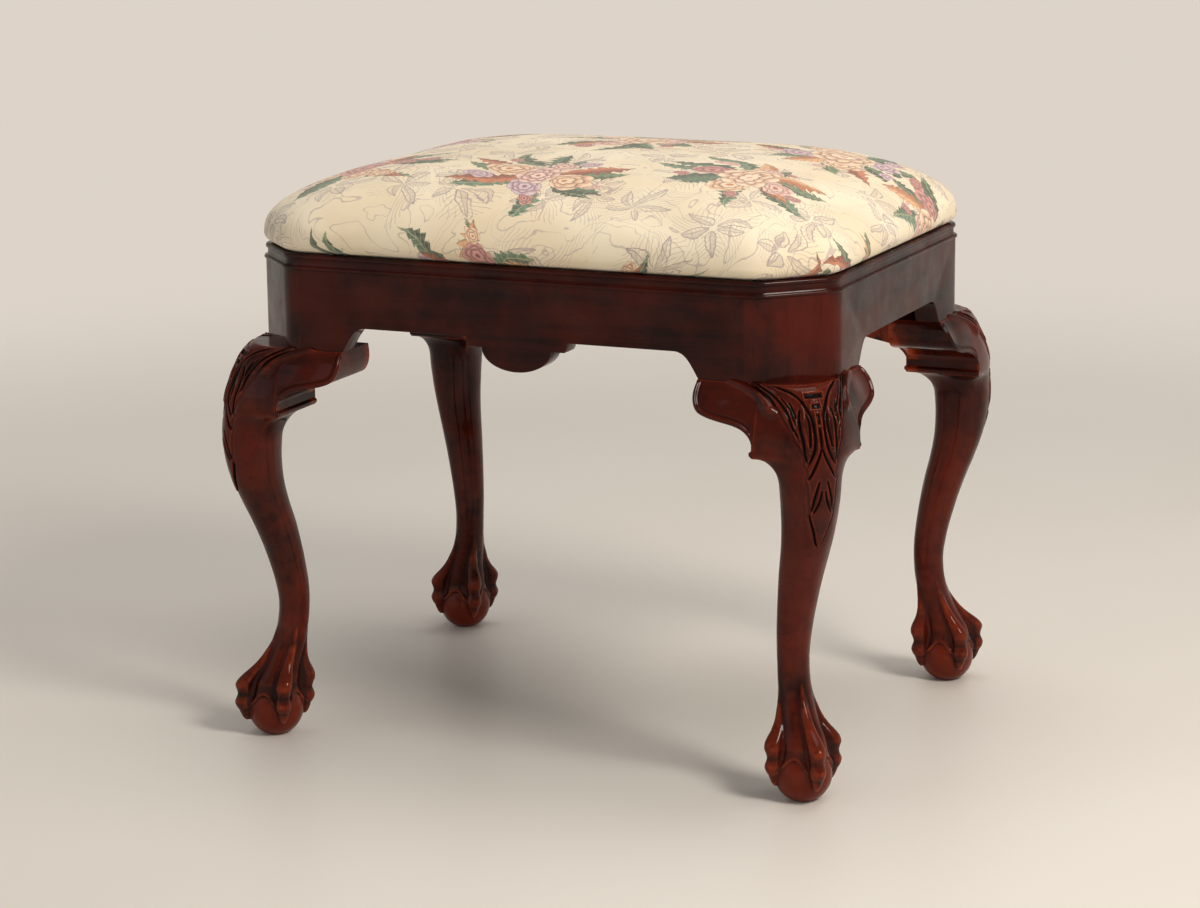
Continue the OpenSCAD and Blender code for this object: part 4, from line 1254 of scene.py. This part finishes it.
def seat_reach(inset, sharp, a):
    """How far the canted outline lies from the middle at a bearing, with softened angles."""
    x = np.abs(np.cos(a)) / (FRAME_W / 2 - inset)
    y = np.abs(np.sin(a)) / (FRAME_D / 2 - inset)
    d = np.abs(np.cos(a)) + np.abs(np.sin(a))
    d = d / ((FRAME_W + FRAME_D) / 2 - CANT - inset * math.sqrt(2))
    m = np.maximum(np.maximum(x, y), d)
    return 1 / (m * ((x / m)**sharp + (y / m)**sharp + (d / m)**sharp)**(1 / sharp))


def crown_lift(share):
    return (1 - share**3)**(1 / 2.2)


# Bearings that are evenly spaced along the seat's widest line
dense = np.radians(np.linspace(-180, 180, 7201))
wide_line = seat_reach(-SEAT_OUT, WIDE_SHARP, dense) * np.stack([np.cos(dense), np.sin(dense)])
run = np.concatenate([[0], np.cumsum(np.hypot(*np.diff(wide_line)))])


def bearing_at(share):
    """Share 0 to 1 of the way round, which starts at the front left corner of the grid."""
    start = np.interp(math.radians(-142.2), dense, run)
    return np.interp((start + share * run[-1]) % run[-1], run, dense)


print("round the seat:", round(float(run[-1])), "mm")

# %% The crown as a square grid
side = np.arange(-HALF, HALF + 1)
gx, gy = np.meshgrid(side, side)
level = np.maximum(np.abs(gx), np.abs(gy))
with np.errstate(divide="ignore", invalid="ignore"):
    turn = np.select(
        [(gy == -level) & (gx < level), (gx == level) & (gy < level),
         (gy == level) & (gx > -level)],
        [(gx / level + 1) / 8, .25 + (gy / level + 1) / 8, .5 + (1 - gx / level) / 8],
        .75 + (1 - gy / level) / 8)
a = bearing_at(np.nan_to_num(turn))
share = np.sin(math.pi / 2 * level / HALF)**.92
radius = share * seat_reach(-SEAT_OUT, 8.8 + 31.2 * share**4, a)
crown = np.stack([radius * np.cos(a), radius * np.sin(a), WIDE_Z + CROWN_H * crown_lift(share)], 2)
width = 2 * HALF + 1
faces = grid_faces(width, width, wrap=False)
there, back_again = range(-HALF, HALF), range(HALF, -HALF, -1)
order = [(x, -HALF) for x in there] + [(HALF, y) for y in there] \
    + [(x, HALF) for x in back_again] + [(-HALF, y) for y in back_again]
ring_ids = [(y + HALF) * width + x + HALF for x, y in order]
print("crown:", width, "x", width, "points")

# %% The rings round and under it
# Share of the way out, inset and height: down behind the moulding, under the boards' edge,
# back up between board and cover, and in over the boards to the middle
UNDER_Z = 450.4
TUCKED = [(1, SKIRT_IN, 444.5), (1, SKIRT_IN, 438), (1, SKIRT_IN, 432.5), (1, 11.2, 431.1),
          (1, 13, 431), (1, 27, 431), (1, 27.5, 431.6), (1, 27, 432.2), (1, 11.9, 432.2),
          (1, 11.7, 446), (1, 15, 450.3), (.7, 15, UNDER_Z), (.35, 15, UNDER_Z), (.1, 15, UNDER_Z)]
around = bearing_at(np.arange(8 * HALF) / (8 * HALF))


def seat_ring(share, inset, z, sharp=TUCK_SHARP):
    r = share * seat_reach(inset, sharp, around)
    return level_ring(np.stack([r * np.cos(around), r * np.sin(around)], 1), z)


rings = []
for angle in np.radians([78, 66, 54, 42, 30, 18, 7]):
    softness = 1 / TUCK_SHARP + (1 / WIDE_SHARP - 1 / TUCK_SHARP) * angle / 1.571
    rings.append(seat_ring(1, SKIRT_IN - (SKIRT_IN + SEAT_OUT) * math.sin(angle),
                           WIDE_Z - (WIDE_Z - LIP_Z) * math.cos(angle), 1 / softness))
rings += [seat_ring(*row) for row in TUCKED]
for k, ring in enumerate(rings):
    ids = [width * width + k * len(ring) + n for n in range(len(ring))]
    faces += [[a, b, d, c] for a, b, c, d in
              zip(ids, ids[1:] + ids[:1], ring_ids, ring_ids[1:] + ring_ids[:1])]
    ring_ids = ids
middle = ids[-1] + 1
faces += [[a, middle, b] for a, b in zip(ids, ids[1:] + ids[:1])]
seat_points = np.vstack([crown.reshape(-1, 3), *rings, [(0, 0, UNDER_Z)]])
seat_cover = mesh_object("seat_cushion", seat_points, faces)
open_edges = facing_out(seat_cover)
print("seat form:", len(seat_points), "points,", open_edges, "open edges")

# %% [markdown]
# Stuffing pushes the cover up a little and evens it. Blender's Cloth does that with a breath
# of pressure and no gravity. The edge is held where it tucks in, and no point may move more
# than 3 mm, so the seat keeps its size.

# %% Cloth
MOST_MOVE, CLOTH_FRAMES = 3, 20
held = seat_cover.vertex_groups.new(name="held")
for k, z in enumerate(seat_points[:, 2]):
    weight = float(np.clip((462 - z) / 8, 0, 1))
    if weight > 0:
        held.add([k], weight, "REPLACE")
cloth = seat_cover.modifiers.new("stuffing", "CLOTH")
for key, value in {"quality": 5, "mass": .3, "tension_stiffness": 40,
                   "compression_stiffness": 40, "bending_stiffness": 8,
                   "vertex_group_mass": "held", "use_pressure": True,
                   "uniform_pressure_force": 4}.items():
    setattr(cloth.settings, key, value)
cloth.settings.effector_weights.gravity = 0
cloth.point_cache.frame_start, cloth.point_cache.frame_end = 1, CLOTH_FRAMES
for frame_number in range(1, CLOTH_FRAMES + 1):
    bpy.context.scene.frame_set(frame_number)
seat_cover = baked(seat_cover)
bpy.context.scene.frame_set(1)
seat_cover.vertex_groups.clear()
moved_by = get_points(seat_cover.data) - seat_points
length = np.linalg.norm(moved_by, axis=1)[:, None]
moved_by *= np.minimum(1, MOST_MOVE / length.clip(1e-6))
moved_by = relaxed(moved_by, get_edges(seat_cover.data), 3)
moved_by *= np.clip((seat_points[:, 2] - 448) / 8, 0, 1)[:, None]
set_points(seat_cover.data, seat_points + moved_by)
print("cloth moved the seat by", round(float(length.mean()), 2), "mm, at most",
      round(float(length.max()), 2), "kept to", MOST_MOVE)

# %% [markdown]
# One round of subdivision halves the squares, so the swell shows no facets up close.

# %% Finer seat
finer = seat_cover.modifiers.new("finer", "SUBSURF")
finer.levels = finer.render_levels = 1
seat_cover = baked(seat_cover)
seat_cover.data.shade_smooth()
points = get_points(seat_cover.data)
print("seat cover:", len(points), "points, box", points.min(0).round(1), points.max(0).round(1))

# %% [markdown]
# The print has to run over the crown and down the sides as cloth does, so each point stores
# where it lay on the flat cloth: its direction from the middle, and its distance along the
# curved surface instead of straight across.

# %% Cloth coordinates
def cloth_place(points):
    """Arc lengths are worked out for a short and a long radius, and read in between."""
    a = np.arctan2(points[:, 1], points[:, 0])
    edge = seat_reach(-SEAT_OUT, WIDE_SHARP, a)
    lean = np.arctan2(np.maximum(points[:, 2] - WIDE_Z, 0) / CROWN_H,
                      np.hypot(points[:, 0], points[:, 1]) / edge)
    shares = np.sin(np.linspace(0, math.pi / 2, 300))
    lifts = crown_lift(shares)
    leans = np.arctan2(lifts, shares)
    short, long = 210, 300
    arcs = []
    for r in (short, long):
        steps = np.hypot(np.diff(shares) * r, np.diff(lifts) * CROWN_H)
        lengths = np.concatenate([[0], np.cumsum(steps)])
        arcs.append(np.interp(lean, leans[::-1], lengths[::-1]))
    arc = arcs[0] + (arcs[1] - arcs[0]) * (edge - short) / (long - short)
    arc += np.maximum(WIDE_Z - points[:, 2], 0) * 1.15
    return np.stack([arc * np.cos(a), arc * np.sin(a)], 1)


flat_place = cloth_place(points)
set_value(seat_cover.data, "cloth", np.pad(flat_place, ((0, 0), (0, 1))))
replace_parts(seat_cover, "seat_cover", "seat_pad")
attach(seat_cover, "seat")
print("cloth:", flat_place.min(0).round(), "to", flat_place.max(0).round(), "mm")

# %% [markdown]
# ## Finishes
#
# Effects that several materials share are node groups: wood grain, the soft mottling of
# hand-rubbed polish, and a weave. Mahogany has a fine, even texture: long faint ribbons of
# colour, and short dark pores that lie along the grain. The polish is a deep red-brown
# glaze. In the cuts its colour is made near black, for dark polish gathered there and for
# painted shade. On the proud edges it turns a warm orange red, for polish rubbed through and
# for a painted highlight.

# %% Wood grain
def material(name):
    made = bpy.data.materials.new(name)
    made.use_nodes = True
    return made, Net(made.node_tree), made.node_tree.nodes["Principled BSDF"]


def wear(finish, *pieces):
    for piece in pieces:
        piece.data.materials.clear()
        piece.data.materials.append(finish)


grain, net, given, out = node_group(
    "wood_grain",
    [("Place", "Vector"), ("Stretch", "Vector"), ("Pore Scale", "Float", 1.0)],
    [("Ribbon", "Float"), ("Pores", "Float"), ("Height", "Float")])
drawn = net.vector("MULTIPLY", given["Place"], given["Stretch"])
warp = net.noise(drawn, 3.0, 2)
bent = net.vector("ADD", drawn, net.vector("SCALE", net.point(warp, warp, warp), scale=.35))
ribbon = net.step(net.noise(bent, 7.0, 5, .6), .32, .68)
fine = net.noise(net.vector("SCALE", bent, scale=given["Pore Scale"]), 60.0, 2, .6)
pores = net.step(fine, .60, .72)
net.fill(out, Ribbon=ribbon, Pores=pores, Height=ribbon * .25 - pores)
print("wood grain:", len(grain.nodes), "nodes")

# %% Polish
# The colour in the cuts stands for gathered polish and for painted shade
PORE_DARK, CUT_POLISH_AND_SHADE = (20, 7, 5), (14, 5, 4)
polish, net, given, out = node_group(
    "hand_polish",
    [("Place", "Vector"), ("Cut", "Float", 0.0), ("Edge", "Float", 0.0), ("Ribbon", "Float", .5),
     ("Pores", "Float", 0.0), ("Deep", "Color"), ("Body", "Color"), ("Warm", "Color"),
     ("Worn", "Color")],
    [("Color", "Color"), ("Roughness", "Float"), ("Glaze", "Float")])
patch = net.step(net.noise(given["Place"], 14.0, 4, .55), .36, .66)
# Proud edges are lightened: polish rubbed thin, and a painted highlight
scuffed = given["Edge"] * net.step(net.noise(given["Place"], 90.0, 3, .6), .25, .6)
base = net.blend(given["Ribbon"] * .75, given["Deep"], given["Body"])
base = net.blend(patch * .45, base, given["Warm"])
base = net.blend(given["Pores"] * .45, base, PORE_DARK)
# Lighter on the proud edges: polish rubbed thin, and a painted highlight
base = net.blend(scuffed * .8, base, given["Worn"])
# Near black in the cuts: gathered polish and painted shade
base = net.blend(net.step(given["Cut"], .18, .75), base, CUT_POLISH_AND_SHADE)
haze = net.noise(given["Place"], 38.0, 3, .6)
uncut = net.math("SUBTRACT", 1.0, given["Cut"], clamp=True)
net.fill(out, Color=base, Roughness=net.step(haze, .3, .7, .26, .40) + given["Cut"] * .25,
         Glaze=net.step(haze, .3, .75, .62, .45) * uncut)
print("polish:", len(polish.nodes), "nodes")

# %% Mahogany
BALL_TINT = (112, 36, 15)     # the balls of the feet are rubbed lighter
# Carved pieces take warmer patches and a lighter edge colour than the rails: partly the wood's own
# tone and wear, partly painted highlight
CARVED = {"warm": (104, 31, 13), "worn": (170, 64, 26), "carved": True}


def mahogany(name, stretch, deep=(21, 6, 5), body=(51, 13, 8), warm=(86, 25, 11),
             worn=(152, 56, 24), carved=False):
    """Polished mahogany, with the noise drawn out along the grain by the smallest stretch."""
    finish, net, shader = material(name)
    place = net.node("ShaderNodeTexCoord", "Object")
    wood = net.group(grain, Place=place, Stretch=stretch, Pore_Scale=1.0)
    cut, edge = (net.attribute(key) for key in ("cut", "edge")) if carved else (0.0, 0.0)
    coat = net.group(polish, Place=place, Cut=cut, Edge=edge, Ribbon=wood["Ribbon"],
                     Pores=wood["Pores"], Deep=colour(deep), Body=colour(body),
                     Warm=colour(warm), Worn=colour(worn))
    base = coat["Color"]
    if carved:
        base = net.blend(net.attribute("ball") * .7, base, BALL_TINT)
    height = wood["Height"] * .12 + net.noise(place, 26.0, 2, .5)
    net.fill(shader, Base_Color=base, Roughness=coat["Roughness"], Coat_Weight=coat["Glaze"],
             Coat_Roughness=.08, Coat_IOR=1.34, Specular_IOR_Level=.02,
             Normal=net.bump(height, .16, .0012))
    return finish


wear(mahogany("mahogany_legs", (14.0, 14.0, .9), **CARVED), *legs.values())
wear(mahogany("mahogany_blocks_long", (.9, 14.0, 14.0), **CARVED), *knee_blocks[0::2])
wear(mahogany("mahogany_blocks_short", (14.0, .9, 14.0), **CARVED), *knee_blocks[1::2])
wear(mahogany("mahogany_long_rails", (.8, 13.0, 13.0)), rails["front"], rails["back"])
wear(mahogany("mahogany_short_rails", (13.0, .8, 13.0)), rails["left"], rails["right"])
wear(mahogany("mahogany_moulding", (3.0, 3.0, 14.0), deep=(24, 7, 5), body=(54, 15, 9)), moulding)
print("mahogany:", [m.name for m in bpy.data.materials if m.name.startswith("mahogany")])

# %% [markdown]
# Inside the frame the wood was never polished: pale beech with a fine grain, a little dusty.
# The screws are steel, and the cloths are a coarse jute and a thin black cambric.

# %% Plain wood and steel
def plain_wood(name, stretch):
    finish, net, shader = material(name)
    place = net.node("ShaderNodeTexCoord", "Object")
    wood = net.group(grain, Place=place, Stretch=stretch, Pore_Scale=1.2)
    dust = net.step(net.noise(place, 9.0, 3), .45, .75, 0.0, .35)
    base = net.blend(wood["Ribbon"], (176, 140, 98), (201, 168, 126))
    base = net.blend(wood["Pores"] * .6, base, (126, 92, 58))
    net.fill(shader, Base_Color=net.blend(dust, base, (140, 112, 82)),
             Roughness=net.step(wood["Ribbon"], 0, 1, .72, .6),
             Normal=net.bump(wood["Height"], .35, .001))
    return finish


beech_x = plain_wood("beech_long", (.8, 12.0, 12.0))
beech_y = plain_wood("beech_short", (12.0, .8, 12.0))
for node in BOARDS + ["corner_block_" + c for c in CORNERS]:
    for slot in nodes[node].material_slots:
        slot.material = beech_y if node in ("seat_board_left", "seat_board_right") else beech_x

steel, net, shader = material("screw_steel")
place = net.node("ShaderNodeTexCoord", "Object")
tarnish = net.step(net.noise(place, 400.0, 4, .6), .4, .7)
net.fill(shader, Base_Color=net.blend(tarnish, (178, 176, 172), (112, 98, 84)), Metallic=1,
         Roughness=net.step(tarnish, 0, 1, .28, .55), Normal=net.bump(tarnish, .2, .0003))
wear(steel, screws, tacks)
print("beech on", len(BOARDS) + len(CORNERS), "pieces, steel on 2")

# %% Weave, jute and black cloth
weave, net, given, out = node_group(
    "plain_weave", [("Place", "Vector"), ("Threads", "Float", 1.0)], [("Height", "Float")])
slub = net.noise(given["Place"], 300.0, 2) * .5
counted = net.vector("SCALE", given["Place"], scale=given["Threads"])
warp, weft = (net.math("SINE", part * math.pi + slub) for part in net.parts(counted)[:2])
over = net.math("GREATER_THAN", warp * weft, 0.0)
net.fill(out, Height=net.node("ShaderNodeMix", 0, {
    "Factor": over, "A": net.math("ABSOLUTE", warp), "B": net.math("ABSOLUTE", weft)},
    data_type="FLOAT"))


def woven(name, dark, light, threads, rough):
    finish, net, shader = material(name)
    place = net.node("ShaderNodeTexCoord", "Object")
    height = net.group(weave, Place=place, Threads=threads)["Height"]
    mottle = net.step(net.noise(place, 25.0, 3), .35, .65)
    net.fill(shader, Base_Color=net.blend(height * (mottle * .4 + .6), dark, light),
             Roughness=net.step(mottle, 0, 1, rough, rough + .1),
             Normal=net.bump(height, .6, .0005))
    return finish


wear(woven("jute_webbing", (110, 84, 52), (182, 152, 106), 500.0, .85), webbing)
wear(woven("hessian_cloth", (104, 82, 54), (176, 150, 110), 600.0, .85), hessian)
wear(woven("black_cambric", (12, 12, 13), (34, 33, 34), 1400.0, .8), dust_cover)
print("weave:", len(weave.nodes), "nodes, on 3 cloths")

# %% [markdown]
# ## The printed cotton
#
# The cover is cream cotton, printed with sprays of leaves and flowers, and with fine mauve
# line drawing between them. An image texture could carry it, but drawing it with nodes keeps
# it sharp at any distance and makes it a pattern of its own. A Voronoi texture gives each
# spray its own middle and turn. Inside a spray the plane is folded like a paper snowflake, so
# one drawn leaf becomes a ring of leaves, each with its own length, bend and colours.

# %% Fold round a middle
folded, net, given, out = node_group(
    "ring_of_places",
    [("Place", "Vector"), ("Chance", "Float", 0.0), ("Count", "Float", 6.0),
     ("Shift", "Float", 0.0)],
    [("Place", "Vector"), ("Chance", "Float"), ("Lot", "Float")])
x, y, _ = net.parts(given["Place"])
slice_at = net.math("ARCTAN2", y, x) / (2 * math.pi) * given["Count"] + given["Shift"]
number = net.math("FLOORED_MODULO", net.math("FLOOR", slice_at), given["Count"])
lean = (net.math("FRACT", slice_at) - .5) * (2 * math.pi) / given["Count"]
far = net.vector("LENGTH", given["Place"], out=1)
dice = net.node("ShaderNodeTexWhiteNoise", "Color", {
    "Vector": net.point(number, given["Chance"] * 61.7, given["Count"])})
chance, lot, _ = net.parts(dice, "Color")
net.fill(out, Chance=chance, Lot=lot,
         Place=net.point(far * net.math("COSINE", lean), far * net.math("SINE", lean)))

# %% A drawn leaf
RIBS = 6.5                    # side ribs along a leaf, and the teeth that end them
leaf_shape, net, given, out = node_group(
    "drawn_leaf",
    [("Place", "Vector"), ("Start", "Float", 16.0), ("Turn", "Float", 0.0),
     ("Length", "Float", 40.0), ("Width", "Float", 9.0), ("Bend", "Float", 0.1),
     ("Teeth", "Float", 0.2)],
    [("Mask", "Float"), ("Line", "Float"), ("Side", "Float")])
away = net.vector("SUBTRACT", given["Place"], net.point(given["Start"]))
x, y, _ = net.parts(net.turn(away, given["Turn"]))
t = x / given["Length"]
along = net.math("MINIMUM", net.math("MAXIMUM", t, .0001), .9999)
side_of = y - along * (1.0 - along) * given["Length"] * given["Bend"]
across = net.math("ABSOLUTE", side_of)
notch = net.math("FRACT", along * RIBS - across * .05)
ribs = net.math("FRACT", along * RIBS - across * .16)
half = given["Width"] * net.math("SINE", net.math("POWER", along, .78) * math.pi)
margin = half * (1.0 - notch * given["Teeth"]) - across
within = net.math("COMPARE", t, .5, .5)
lines = net.math("MAXIMUM", net.line(side_of, .15, .7), net.line(margin, .3, .9))
lines = net.math("MAXIMUM", lines, net.line(ribs - .5, .04, .12, .6))
net.fill(out, Mask=net.step(margin, -.3, .3) * within, Line=lines * within,
         Side=net.step(side_of + ribs * 3.0, -2.0, 3.5))

# %% A drawn bloom
bloom_shape, net, given, out = node_group(
    "drawn_bloom",
    [("Place", "Vector"), ("Out", "Float", 0.0), ("Radius", "Float", 20.0),
     ("Petals", "Float", 6.0)],
    [("Mask", "Float"), ("Line", "Float"), ("Tone", "Float")])
away = net.vector("SUBTRACT", given["Place"], net.point(given["Out"]))
x, y, _ = net.parts(away)
wave = net.math("ARCTAN2", y, x) * (given["Petals"] * .5)
far = net.vector("LENGTH", away, out=1) / given["Radius"]
rows = []
for size, shift in ((1.0, 0.0), (.68, math.pi / 2), (.40, 0.0)):
    lobe = net.math("POWER", net.math("ABSOLUTE", net.math("COSINE", wave + shift)), .5)
    rows.append((lobe * .24 + .76) * size - far)
lines = net.line(net.math("SINE", wave * 6.0), .12, .3) * .4
lines = net.math("MAXIMUM", lines, net.line(rows[0], .024, .06))
fold = 0.0
for row in rows[1:]:
    lines = net.math("MAXIMUM", lines, net.line(row, .018, .045))
    shaded = net.step(row, -.26, 0.0) * net.math("LESS_THAN", row, 0.0)
    fold = net.math("MAXIMUM", fold, shaded)
net.fill(out, Mask=net.step(rows[0], -.015, .015), Line=lines,
         Tone=net.math("MAXIMUM", fold * .8, net.step(far, .10, .2, 1.0, 0.0)))
print("motifs: ring", len(folded.nodes), "leaf", len(leaf_shape.nodes),
      "bloom", len(bloom_shape.nodes), "nodes")

# %% [markdown]
# A hand-cut block prints no true lines, so the places are first shaken a little and swayed a
# lot. Everything below is in millimetres. Chance values pick each motif's colours from short
# lists, one for its dark side and one for its light side.

# %% Places, colours and rings of motifs
printed, net, shader = material("printed_cotton")
cloth_mm = net.attribute("cloth", "Vector")
drawn_place = cloth_mm
for scale, detail, rough, most in ((.05, 2, .6, 8.0), (.014, 1, .5, 44.0)):
    sway = net.vector("SUBTRACT", net.noise(cloth_mm, scale, detail, rough, out=1), (.5, .5, .5))
    drawn_place = net.vector("ADD", drawn_place, net.vector("SCALE", sway, scale=most))


def scattered(apart, spare, shift):
    """Places round the middle of each Voronoi cell, turned by the cell's own angle."""
    moved = net.vector("ADD", drawn_place, shift)
    cells = net.node("ShaderNodeTexVoronoi", 0, {
        "Vector": moved, "Scale": 1 / apart, "Randomness": spare},
        voronoi_dimensions="2D").siblings()
    chance = net.parts(cells["Color"], "Color")
    away = net.vector("SUBTRACT", moved, cells["Position"])
    return net.turn(away, chance[0] * 6.283), chance


def picked(lot, tints):
    """One of a few tints, by a number from 0 to 1."""
    value = net.node("ShaderNodeValToRGB", 0, {0: lot})
    ramp = value.socket.node.color_ramp
    ramp.interpolation = "CONSTANT"
    while len(ramp.elements) < len(tints):
        ramp.elements.new(.5)
    for k, (mark, tint) in enumerate(zip(ramp.elements, tints)):
        mark.position = k / len(tints)
        mark.color = colour(tint)
    return value


def leaf_ring(base, place, chance, count, shift, start, long, wide, teeth, tints, ink):
    """A ring of leaves laid over a base colour."""
    ring = net.group(folded, Place=place, Chance=chance, Count=float(count), Shift=shift)
    bend = (ring["Lot"] - .5) * 1.1
    leaf = net.group(leaf_shape, Place=ring["Place"], Start=start, Turn=bend * .35, Bend=bend,
                     Length=net.step(ring["Chance"], 0, 1, *long), Width=wide, Teeth=teeth)
    tint = net.blend(leaf["Side"], *(picked(ring["Chance"], part) for part in tints))
    return net.blend(leaf["Mask"], base, net.blend(leaf["Line"] * .65, tint, ink))


def bloom_ring(base, place, chance, count, shift, out_by, size, petals, tints, ink=(96, 62, 76)):
    """A ring of blooms laid over a base colour, or one in the middle where the count is 0."""
    if count:
        ring = net.group(folded, Place=place, Chance=chance, Count=float(count), Shift=shift)
        place, chance = ring["Place"], ring["Chance"]
    bloom = net.group(bloom_shape, Place=place, Out=out_by, Petals=float(petals),
                      Radius=net.step(chance, 0, 1, *size))
    tint = net.blend(bloom["Tone"], *(picked(chance, part) for part in tints[::-1]))
    return net.blend(bloom["Mask"], base, net.blend(bloom["Line"] * .7, tint, ink))


GREENS = [[(24, 56, 52), (34, 70, 58), (28, 60, 50), (40, 78, 68)],
          [(54, 96, 80), (74, 112, 84), (62, 100, 76), (82, 120, 100)]]
MIXED = [[(150, 70, 44), (30, 62, 56), (184, 106, 64), (36, 70, 60), (136, 60, 44)],
         [(210, 138, 96), (64, 104, 86), (228, 172, 124), (78, 116, 92), (200, 118, 84)]]
PETALS = [[(188, 108, 104), (122, 50, 60), (196, 124, 84), (146, 92, 116)],
          [(238, 206, 190), (214, 150, 142), (244, 216, 182), (220, 196, 204)]]
HEARTS = [[(176, 84, 84), (128, 56, 64), (190, 116, 78)],
          [(240, 212, 198), (226, 168, 156), (246, 222, 192)]]
MAUVE_INK, HILL_INK = (142, 120, 134), (148, 128, 140)
BROWN_INK, PALE_INK = (92, 50, 40), (196, 190, 150)
print("tints:", sum(len(part) for lot in (GREENS, MIXED, PETALS, HEARTS) for part in lot),
      "in four lists, and four inks")

# %% [markdown]
# Under the sprays comes the line drawing: small outlined leaves and the contours of hills.
# Then each spray is laid over it, from two rings of leaves to the blooms and the large one in
# the middle. Last, the ink wears thin in places and the weave shows through.

# %% The print
ground = net.blend(net.step(net.noise(cloth_mm, .012, 3), .35, .65), (234, 217, 186),
                   (241, 228, 202))
small, chance = scattered(66, .8, (31.0, 17.0, 0.0))
ring = net.group(folded, Place=small, Chance=chance[1], Count=5.0, Shift=.2)
bend = (ring["Lot"] - .5) * 1.6
leaf = net.group(leaf_shape, Place=ring["Place"], Start=4.0, Turn=bend, Width=5.5, Bend=bend,
                 Length=net.step(ring["Chance"], 0, 1, 18.0, 34.0), Teeth=.15)
wash = leaf["Mask"] * (leaf["Side"] * .28)
base = net.blend(net.math("MAXIMUM", wash, leaf["Line"] * .75), ground, MAUVE_INK)
hills = net.math("FRACT", net.noise(drawn_place, .012, 2, .5, .8) * 11.0)
base = net.blend(net.line(hills - .5, .015, .05, .5), base, HILL_INK)

spray, chance = scattered(176, .3, (46.0, -38.0, 0.0))
stretched = net.vector("MULTIPLY", spray, (.84, 1.12, 1.0))
base = leaf_ring(base, stretched, chance[1], 7, .1, 25.0, (42.0, 64.0), 11.5, .42,
                 GREENS, PALE_INK)
base = leaf_ring(base, stretched, chance[2], 6, .45, 16.0, (44.0, 68.0), 12.0, .50,
                 MIXED, BROWN_INK)
base = bloom_ring(base, stretched, chance[2], 5, .8, 54.0, (7.0, 11.0), 5, PETALS)
base = bloom_ring(base, stretched, chance[1], 4, .3, 33.0, (14.0, 20.0), 6, PETALS)
base = bloom_ring(base, spray, chance[2], 0, 0, 0.0, (21.0, 30.0), 8, HEARTS)
worn_ink = net.step(net.noise(cloth_mm, .35, 3, .6), .25, .75, .82, 1.0)
threads = net.group(weave, Place=cloth_mm, Threads=1.1)["Height"]
base = net.blend(threads * .07, net.blend(worn_ink, ground, base), (252, 242, 226))
pull = net.noise(cloth_mm, .02, 2)
net.fill(shader, Base_Color=base, Roughness=net.step(threads, 0, 1, .82, .68),
         Specular_IOR_Level=.25, Sheen_Weight=.15, Sheen_Roughness=.5,
         Normal=net.bump(threads * .05 + pull, .3, .002))
wear(printed, seat_cover)
print("printed cotton:", len(printed.node_tree.nodes), "nodes")

# %% [markdown]
# ## Studio
#
# A wide pale floor with no wall, so nothing hides the stool from any side. Far from the stool
# the floor fades to the colour of the horizon: only rays from the camera, from gloss and
# through glass see that fade, so it adds no light. From below the floor is clear, which shows
# the underside. The lamps are a soft key from the front right, a broad one above and a weak
# fill, so polished wood shows soft bands of light and not hard dots.

# %% Floor
FLOOR_HALF, HORIZON = 14000, (221, 211, 200)
ends = (-FLOOR_HALF, FLOOR_HALF)
floor = mesh_object("studio_floor", [(x, y, 0) for y in ends for x in ends], [(0, 1, 3, 2)])
pale, net, shader = material("pale_floor")
place = net.node("ShaderNodeTexCoord", "Object")
tone = net.blend(net.step(net.noise(place, 1.3, 2), .3, .7), (232, 226, 218), (237, 232, 225))
rays = net.node("ShaderNodeLightPath").siblings()
seen = net.math("MAXIMUM", rays["Is Camera Ray"], rays["Is Glossy Ray"])
seen = net.math("MAXIMUM", seen, rays["Is Transmission Ray"])
far = net.step(net.vector("LENGTH", place, out=1), .9, 2.7) * seen
net.fill(shader, Base_Color=net.blend(far, tone, (0, 0, 0)), Roughness=.38,
         Specular_IOR_Level=net.step(far, 0, 1, .3, 0), Emission_Color=colour(HORIZON),
         Emission_Strength=far)
shown = net.node("ShaderNodeMixShader", 0, {
    0: net.node("ShaderNodeNewGeometry", "Backfacing"), 1: Value(net, shader.outputs[0]),
    2: net.node("ShaderNodeBsdfTransparent")})
net.put(pale.node_tree.nodes["Material Output"].inputs["Surface"], shown)
wear(pale, floor)
print("floor:", 2 * FLOOR_HALF * MM, "m wide")


# %% Lamps and sky
def soft_lamp(name, place, aim, size, power, tint):
    data = bpy.data.lights.new(name, "AREA")
    data.shape = "RECTANGLE"
    data.size, data.size_y = size
    data.energy = power
    data.color = colour(tint)[:3]
    lamp = bpy.data.objects.new(name, data)
    lamp.location = place
    lamp.rotation_euler = (Vector(place) - Vector(aim)).to_track_quat("Z", "Y").to_euler()
    bpy.context.scene.collection.objects.link(lamp)


soft_lamp("key", (2.0, -.9, 2.0), (0, 0, .35), (.8, .8), 45, (255, 247, 236))
soft_lamp("top", (.2, .5, 2.7), (0, 0, .3), (2.2, 1.6), 27, (255, 250, 244))
soft_lamp("fill", (-2.2, -2.2, 1.5), (0, 0, .3), (1.6, 1.6), 4, (240, 243, 255))
world = bpy.data.worlds.new("studio_sky")
world.use_nodes = True
net = Net(world.node_tree)
up = net.parts(net.node("ShaderNodeTexCoord", "Generated"))[2]
sky = net.blend(net.step(up, .03, .4), HORIZON, (144, 142, 138))
net.fill(world.node_tree.nodes["Background"], Color=sky)
bpy.context.scene.world = world
bpy.context.scene.view_settings.view_transform = "Standard"
